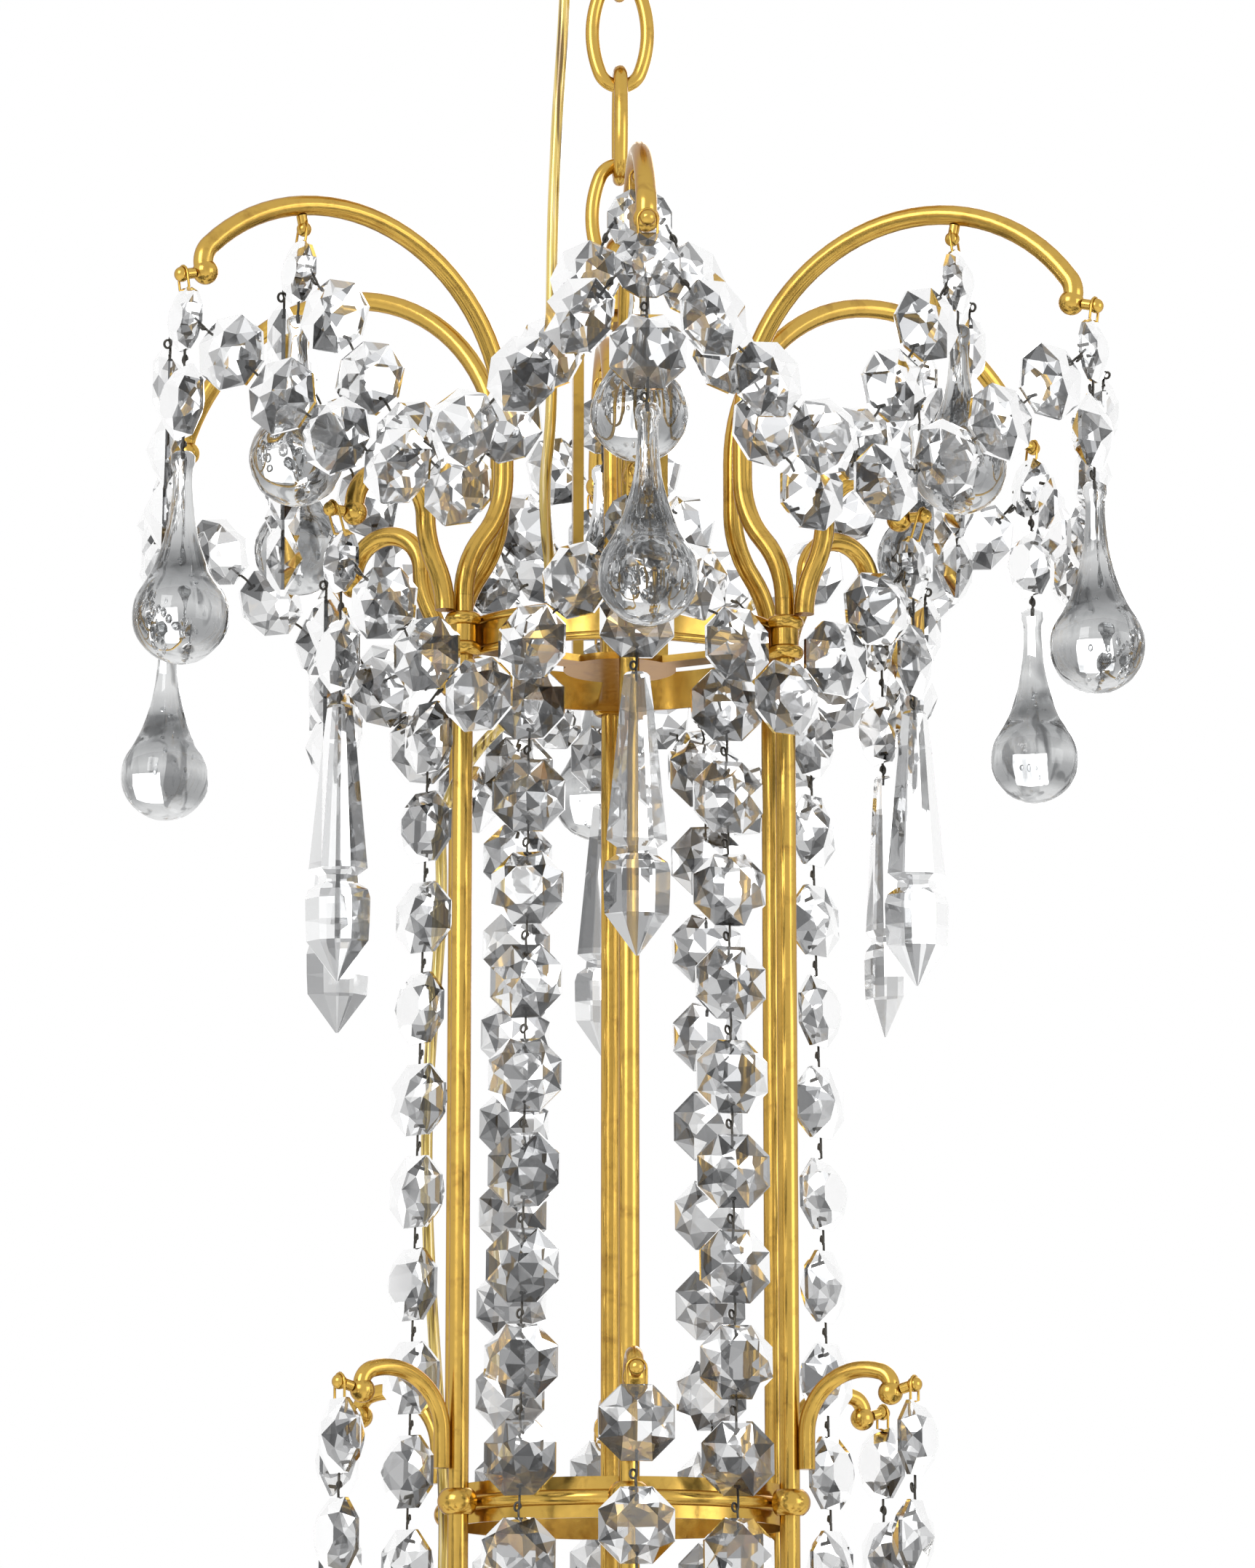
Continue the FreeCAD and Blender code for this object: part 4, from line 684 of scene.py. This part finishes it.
def loop_shape(length, width, wire):
    """Closed loop of wire along +Z, from 0 to its length, flat in XZ."""
    straight = max(length - 2 * width, 0.0005)
    path = []
    for i in range(9):
        turn = math.pi * i / 8
        path.append((width * math.cos(turn), width + straight + width * math.sin(turn)))
    for i in range(9):
        turn = math.pi + math.pi * i / 8
        path.append((width * math.cos(turn), width + width * math.sin(turn)))
    points, around = [], WIRE_SIDES
    count = len(path)
    for k, (x, z) in enumerate(path):
        before, after = path[k - 1], path[(k + 1) % count]
        along = Vector((after[0] - before[0], 0, after[1] - before[1])).normalized()
        side = Vector((along.z, 0, -along.x))
        for i in range(around):
            turn = 2 * math.pi * i / around
            offset = side * math.cos(turn) * wire + Vector((0, 1, 0)) * math.sin(turn) * wire
            points.append((x + offset.x, offset.y, z + offset.z))
    return points, joined_rings(count, around, True)


def eye_path(length, eye):
    """Pin's wire along +Z, with an eye in the middle of a long one."""
    middle = length / 2
    path = [(0, 0, 0), (0, 0, middle - 0.0004)]
    if length > LONG_PIN:
        for i in range(15):
            turn = 2 * math.pi * i / 14
            rise = 1.35 * eye * math.sin(turn)
            path.append((eye * (1 - math.cos(turn)), 0.0008 * i / 14, middle + rise))
    return [Vector(place) for place in path + [(0.0003, 0, middle + 0.0008), (0, 0, length)]]


def wire_shape(path, wire):
    """Round wire along a path that keeps near the XZ plane."""
    points, around = [], WIRE_SIDES
    for k, place in enumerate(path):
        along = (path[min(k + 1, len(path) - 1)] - path[max(k - 1, 0)]).normalized()
        side = along.cross(Vector((0, 1, 0))).normalized()
        front = side.cross(along)
        for i in range(around):
            turn = 2 * math.pi * i / around
            points.append(tuple(place + (side * math.cos(turn) + front * math.sin(turn)) * wire))
    return points, joined_rings(len(path), around) + end_caps(len(points), around)


def drill_shape(across, up, front, back):
    """Drilled hole through a crystal, from its front to its back, as a dark rod: the pin's wire
    through it, with painted shade filling the rest of the hole.
    """
    around = 8
    turns = [2 * math.pi * i / around for i in range(around)]
    points = [(across + HOLE_RADIUS * math.cos(turn), depth, up + HOLE_RADIUS * math.sin(turn))
              for depth in (-front, back) for turn in turns]
    return points, joined_rings(2, around) + end_caps(len(points), around)


def lay_holes(facets, matrix, reach, count):
    """Drilled holes near the rim of a crystal, the first at its top."""
    for number in range(count):
        turn = 2 * math.pi * number / count
        shape = drill_shape(reach * math.sin(turn), reach * math.cos(turn), HOLE_FRONT, HOLE_BACK)
        facets.lay(*shape, matrix, [0.2] * len(shape[1]))


def lay_pins(facets, solids, sizes):
    """A bent wire for each pin solid."""
    for points in solids:
        start, end = pin_ends(points)
        along = (end - start).normalized()
        start, end = start - along * sizes.pin_reach, end + along * sizes.pin_reach
        upright = abs(along.z) >= 0.9
        helper = Vector((start.x, start.y, 0)).normalized() if upright else Vector((0, 0, 1))
        side = along.cross(helper).normalized()
        front = side.cross(along)
        matrix = placed(side, front, along, start)
        shape = wire_shape(eye_path((end - start).length, sizes.pin_width), sizes.pin_wire)
        facets.lay(*shape, matrix, [0.5] * len(shape[1]))


def body_of_node(node):
    """The body that a CAD node rides on."""
    for body, names in frame["record"]["behaviour"]["bodies"].items():
        if node in names:
            return body
    raise RuntimeError("node %s is on no body" % node)


def hang(piece, node):
    """Let a finished piece move with a node's body."""
    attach(piece, body_of_node(node))


def settle(piece, node):
    """Hang a finished piece on its node's body in place of the node."""
    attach(piece, body_of_node(node))
    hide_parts(node)


# ---------------------------------------------------------------- operators


class CHANDELIER_OT_stage(bpy.types.Operator):
    """Camera, soft studio light and the pale floor far below"""

    bl_idname = "chandelier.stage"
    bl_label = "Stage"

    def execute(self, context):
        scene = context.scene
        camera = bpy.data.cameras.new("camera")
        camera.sensor_width = 36
        camera.sensor_fit = "AUTO"
        camera.lens = CAMERA_LENS
        camera.clip_end = 50
        eye = bpy.data.objects.new("camera", camera)
        scene.collection.objects.link(eye)
        across, ahead = CAMERA_HEADING
        level, rise = math.cos(CAMERA_PITCH), math.sin(CAMERA_PITCH)
        look = Vector((across * level, ahead * level, rise))
        eye.location = CAMERA_PLACE
        eye.rotation_euler = look.to_track_quat("-Z", "Y").to_euler()
        scene.camera = eye
        self.world(scene)
        self.floor(scene)
        for name, place, width, power in LIGHTS:
            lamp = bpy.data.lights.new(name, "AREA")
            lamp.size = width
            lamp.energy = power
            light = bpy.data.objects.new(name, lamp)
            light.location = place
            aim = LIGHTS_AIM - Vector(place)
            light.rotation_euler = aim.to_track_quat("-Z", "Y").to_euler()
            scene.collection.objects.link(light)
        scene.view_settings.view_transform = "Standard"
        return {"FINISHED"}

    def world(self, scene):
        """White to the eye and in reflections, softer as light."""
        world = bpy.data.worlds.new("studio")
        scene.world = world
        world.use_nodes = True
        tree = world.node_tree
        shown, lit = tree.nodes["Background"], add(tree, "ShaderNodeBackground")
        shown.inputs["Color"].default_value = (1, 1, 1, 1)
        shown.inputs["Strength"].default_value = 1.0
        lit.inputs["Color"].default_value = (1, 1, 1, 1)
        lit.inputs["Strength"].default_value = WORLD_LIGHT
        seen = self.seen(tree)
        mix = add(tree, "ShaderNodeMixShader")
        tree.links.new(seen, mix.inputs[0])
        tree.links.new(lit.outputs[0], mix.inputs[1])
        tree.links.new(shown.outputs[0], mix.inputs[2])
        tree.links.new(mix.outputs[0], tree.nodes["World Output"].inputs["Surface"])

    def seen(self, tree):
        """1 for camera, glossy and transmission rays."""
        rays = add(tree, "ShaderNodeLightPath")
        total = rays.outputs["Is Camera Ray"]
        for name in ("Is Glossy Ray", "Is Transmission Ray"):
            most = add(tree, "ShaderNodeMath", operation="MAXIMUM")
            tree.links.new(total, most.inputs[0])
            tree.links.new(rays.outputs[name], most.inputs[1])
            total = most.outputs[0]
        return total

    def floor(self, scene):
        """Pale floor that reads white and takes the object's shadow."""
        half, level = FLOOR_HALF, CAD_BOX[0][2] - FLOOR_BELOW
        corners = ((-half, -half), (half, -half), (half, half), (-half, half))
        mesh = bpy.data.meshes.new("floor")
        mesh.from_pydata([(x, y, level) for x, y in corners], [], [(0, 1, 2, 3)])
        floor = bpy.data.objects.new("floor", mesh)
        scene.collection.objects.link(floor)
        material, tree, shader = new_material("floor")
        shader.inputs["Base Color"].default_value = (0.93, 0.93, 0.93, 1)
        shader.inputs["Roughness"].default_value = 0.9
        glow = add(tree, "ShaderNodeEmission", Strength=FLOOR_GLOW)
        both = add(tree, "ShaderNodeAddShader")
        mix = add(tree, "ShaderNodeMixShader")
        out = tree.nodes["Material Output"]
        tree.links.new(shader.outputs[0], both.inputs[0])
        tree.links.new(glow.outputs[0], both.inputs[1])
        tree.links.new(self.seen(tree), mix.inputs[0])
        tree.links.new(shader.outputs[0], mix.inputs[1])
        tree.links.new(both.outputs[0], mix.inputs[2])
        tree.links.new(mix.outputs[0], out.inputs["Surface"])
        mesh.materials.append(material)


class CHANDELIER_OT_supply_cord(bpy.types.Operator):
    """Clear flex from the canopy down through the cage to the lamp drum"""

    bl_idname = "chandelier.supply_cord"
    bl_label = "Supply cord"

    def execute(self, context):
        sizes = context.scene.chandelier_sizes
        curve = bpy.data.curves.new("supply_flex", "CURVE")
        curve.dimensions = "3D"
        curve.bevel_depth = sizes.cord / 2
        curve.bevel_resolution = 4
        curve.resolution_u = 10
        curve.use_fill_caps = True
        spline = curve.splines.new("NURBS")
        spline.points.add(len(CORD_ROUTE) - 1)
        for point, (x, y, z) in zip(spline.points, CORD_ROUTE):
            point.co = (x / 1000, y / 1000, z / 1000 - RING_DROP, 1)
        spline.order_u = 3
        spline.use_endpoint_u = True
        flex = bpy.data.objects.new("supply_flex", curve)
        context.scene.collection.objects.link(flex)
        curve.materials.append(material_of("clear_cord"))
        settle(flex, "supply_cord")
        x, y, z = CORD_ROUTE[0]
        return {"FINISHED"}


class CHANDELIER_OT_brass(bpy.types.Operator):
    """Gilt finish on the brass frame, arms, chain and lamp holders"""

    bl_idname = "chandelier.brass"
    bl_label = "Brass"

    def execute(self, context):
        for node in BRASS_NODES:
            finish(node, "gilt_brass")
        finish("mounting_bar", "steel_bar")
        for node in ("cord_bush", "drum_bush"):
            finish(node, "clear_cord")
        return {"FINISHED"}


def finish(node, material):
    """Give a CAD node a procedural finish."""
    piece = NODES[node]
    piece.data.materials.clear()
    piece.data.materials.append(material_of(material))


class CHANDELIER_OT_candles(bpy.types.Operator):
    """Candle sleeves, lamp holders and bulbs"""

    bl_idname = "chandelier.candles"
    bl_label = "Candles"

    def execute(self, context):
        finish("candle_sleeves", "candle_white")
        finish("lamp_sockets", "socket_plastic")
        finish("candle_bulbs", "bulb_glass")
        return {"FINISHED"}


class CHANDELIER_OT_strings(bpy.types.Operator):
    """Octagons of the garlands and of the strings down the cage"""

    bl_idname = "chandelier.strings"
    bl_label = "Strings of octagons"

    def execute(self, context):
        sizes = context.scene.chandelier_sizes
        shape = octagon_cut(sizes.girdle)
        rng = random.Random(11)
        for node in STRINGS:
            facets, holes = Facets(), Facets()
            frames = [flat_frame(points, OCTAGON_SIDES) for points in solids_of(node)]
            for middle, front, flats in frames:
                others = [other for other, _, _ in frames if other != middle]
                near = min(others, key=lambda other: (other - middle).length)
                heading = (near - middle).normalized()
                up = max(flats, key=lambda flat: flat.dot(heading))
                matrix = stand(middle, front, up)
                facets.lay(*shape, matrix, facet_values(shape[1], 1, OCTAGON_GIRDLE, rng))
                lay_holes(holes, matrix, OCTAGON_HOLE_REACH, OCTAGON_HOLES)
            settle(facets.piece(node + "_crystals", "cut_crystal"), node)
            hang(holes.piece(node + "_holes", "steel_wire"), node)
        return {"FINISHED"}


class CHANDELIER_OT_rosettes(bpy.types.Operator):
    """Round buttons under the arms"""

    bl_idname = "chandelier.rosettes"
    bl_label = "Rosettes"

    def execute(self, context):
        shape = rosette_cut(context.scene.chandelier_sizes.girdle)
        rng = random.Random(12)
        facets, holes = Facets(), Facets()
        for points in solids_of("rosettes"):
            middle, front, flats = flat_frame(points, ROSETTE_SIDES)
            matrix = stand(middle, front, max(flats, key=lambda flat: flat.z))
            facets.lay(*shape, matrix, facet_values(shape[1], 1, ROSETTE_GIRDLE, rng))
            lay_holes(holes, matrix, ROSETTE_HOLE_REACH, ROSETTE_HOLES)
        hang(holes.piece("rosette_holes", "steel_wire"), "rosettes")
        settle(facets.piece("rosette_crystals", "cut_crystal"), "rosettes")
        return {"FINISHED"}


class CHANDELIER_OT_pins(bpy.types.Operator):
    """Bent wire pins that join the crystals"""

    bl_idname = "chandelier.pins"
    bl_label = "Pins"

    def execute(self, context):
        sizes = context.scene.chandelier_sizes
        knobs = np.vstack(solids_of("hook_knobs"))
        pins, hooks = [], []
        for points in solids_of("string_pins"):
            away = min(np.linalg.norm(knobs - np.array(end), axis=1).min()
                       for end in pin_ends(points))
            (hooks if away < HOOK_SEEK else pins).append(points)
        facets, gilt = Facets(), Facets()
        lay_pins(facets, pins, sizes)
        for points in hooks:
            upper, lower = sorted(pin_ends(points), key=lambda end: -end.z)
            start, end = lower - Vector((0, 0, HOOK_DOWN)), upper + Vector((0, 0, HOOK_UP))
            side = Vector((0, 0, 1)).cross(Vector((start.x, start.y, 0)).normalized())
            along = (end - start).normalized()
            front = side.cross(along).normalized()
            side = along.cross(front)
            matrix = placed(side, front, along, start)
            shape = loop_shape((end - start).length, HOOK_WIDTH, sizes.pin_wire)
            gilt.lay(*shape, matrix, [0.5] * len(shape[1]))
        settle(facets.piece("wire_pins", "steel_wire", True), "string_pins")
        hang(gilt.piece("gilt_hooks", "gilt_brass", True), "string_pins")
        return {"FINISHED"}


class CHANDELIER_OT_drops(bpy.types.Operator):
    """Teardrops and spears that swing under the rosettes"""

    bl_idname = "chandelier.drops"
    bl_label = "Drops"

    def execute(self, context):
        sizes = context.scene.chandelier_sizes
        rng = random.Random(13)
        for kind in ("tip_drop", "mid_drop", "spear_drop"):
            for number in range(1, ARMS + 1):
                self.drop(kind, number, sizes, rng)
        return {"FINISHED"}

    def drop(self, kind, number, sizes, rng):
        """One drop: its wires, the octagon above it if it has one, and its teardrop or spear."""
        node = "%s_%d" % (kind, number)
        solids = solids_of(node)
        jewel = max(solids, key=lambda points: points[:, 2].max() - points[:, 2].min())
        low, high = jewel.min(0), jewel.max(0)
        top = Vector(((high[0] + low[0]) / 2, (high[1] + low[1]) / 2, high[2]))
        wires, cut = Facets(), Facets()
        lay_pins(wires, [points for points in solids if len(points) == PIN_CORNERS], sizes)
        octagon = octagon_cut(sizes.girdle)
        for points in solids:
            if len(points) == OCTAGON_CORNERS:
                middle, front, flats = flat_frame(points, OCTAGON_SIDES)
                matrix = stand(middle, front, max(flats, key=lambda flat: flat.z))
                cut.lay(*octagon, matrix, facet_values(octagon[1], 1, OCTAGON_GIRDLE, rng))
                lay_holes(wires, matrix, OCTAGON_HOLE_REACH, OCTAGON_HOLES)
        if kind == "spear_drop":
            self.lay_spear(cut, jewel, top, rng)
        else:
            length = high[2] - low[2]
            seed = number + (ARMS if kind == "mid_drop" else 0)
            self.teardrop(node, top, length, sizes.wobble, seed)
            self.bubbles(node, top, length, sizes.bubbles, rng)
        hang(wires.piece(node + "_wire", "steel_wire"), node)
        if cut.faces:
            settle(cut.piece(node + "_crystals", "cut_crystal"), node)

    def lay_spear(self, facets, points, top, rng):
        """Spear, turned as its CAD solid is."""
        wide = max(points, key=lambda point: math.hypot(point[0] - top.x, point[1] - top.y))
        front = Vector((wide[1] - top.y, top.x - wide[0], 0)).normalized()
        shape = spear_cut()
        # Painted reflection greys, lighter than the octagons' so that the spear reads clearer.
        values = [SPEAR_CLEAR + (1 - SPEAR_CLEAR) * value
                  for value in facet_values(shape[1], 0, (0, 1), rng)]
        facets.lay(*shape, stand(top, front, Vector((0, 0, 1))), values)

    def teardrop(self, node, top, length, wobble, seed):
        """Teardrop of drawn glass."""
        drop = Facets()
        shape = drop_shape(length, wobble, seed)
        drop.lay(*shape, Matrix.Translation(top), drop_greys(shape[0], length))
        settle(drop.piece(node + "_glass", "drawn_glass", True), node)

    def bubbles(self, node, top, length, count, rng):
        """Air bubbles caught in a teardrop, most of them in its round end."""
        air = Facets()
        for _ in range(count):
            radius = rng.uniform(*BUBBLE_RADII)
            down = rng.uniform(length * BUBBLES_FROM, length - BUBBLES_END)
            spread = BUBBLES_IN_BELLY if down > length - BELLY_FROM_END else BUBBLES_IN_NECK
            turn, out = rng.uniform(0, 2 * math.pi), spread * math.sqrt(rng.random())
            place = top + Vector((out * math.cos(turn), out * math.sin(turn), -down))
            points, faces = bead_shape(radius, rng.uniform(1.0, 2.4))
            air.lay(points, faces, Matrix.Translation(place), [1.0] * len(faces))
        if air.faces:
            hang(air.piece(node + "_bubbles", "bubble", True), node)


class CHANDELIER_PT_panel(bpy.types.Panel):
    """Steps that build the chandelier, and its sizes and colours"""

    bl_label = "Chandelier"
    bl_idname = "CHANDELIER_PT_panel"
    bl_space_type = "VIEW_3D"
    bl_region_type = "UI"
    bl_category = "Chandelier"

    def draw(self, context):
        column = self.layout.column()
        for operator in STEPS:
            column.operator(operator.bl_idname)
        for group in (context.scene.chandelier_sizes, context.scene.chandelier_colours):
            for name in group.bl_rna.properties.keys():
                if name not in ("rna_type", "name"):
                    column.prop(group, name)


STEPS = (
    CHANDELIER_OT_stage, CHANDELIER_OT_supply_cord, CHANDELIER_OT_brass, CHANDELIER_OT_candles,
    CHANDELIER_OT_strings, CHANDELIER_OT_rosettes, CHANDELIER_OT_pins, CHANDELIER_OT_drops,
)
CLASSES = (ChandelierSizes, ChandelierColours, *STEPS, CHANDELIER_PT_panel)


def register():
    """Register the classes and the scene's sizes and colours."""
    for item in CLASSES:
        bpy.utils.register_class(item)
    bpy.types.Scene.chandelier_sizes = bpy.props.PointerProperty(type=ChandelierSizes)
    bpy.types.Scene.chandelier_colours = bpy.props.PointerProperty(type=ChandelierColours)


def unregister():
    """Undo register."""
    del bpy.types.Scene.chandelier_colours
    del bpy.types.Scene.chandelier_sizes
    for item in reversed(CLASSES):
        bpy.utils.unregister_class(item)


def main():
    """Build every piece in order."""
    register()
    for operator in STEPS:
        group, name = operator.bl_idname.split(".")
        getattr(getattr(bpy.ops, group), name)()
    bpy.context.view_layer.update()


if __name__ == "__main__":
    main()
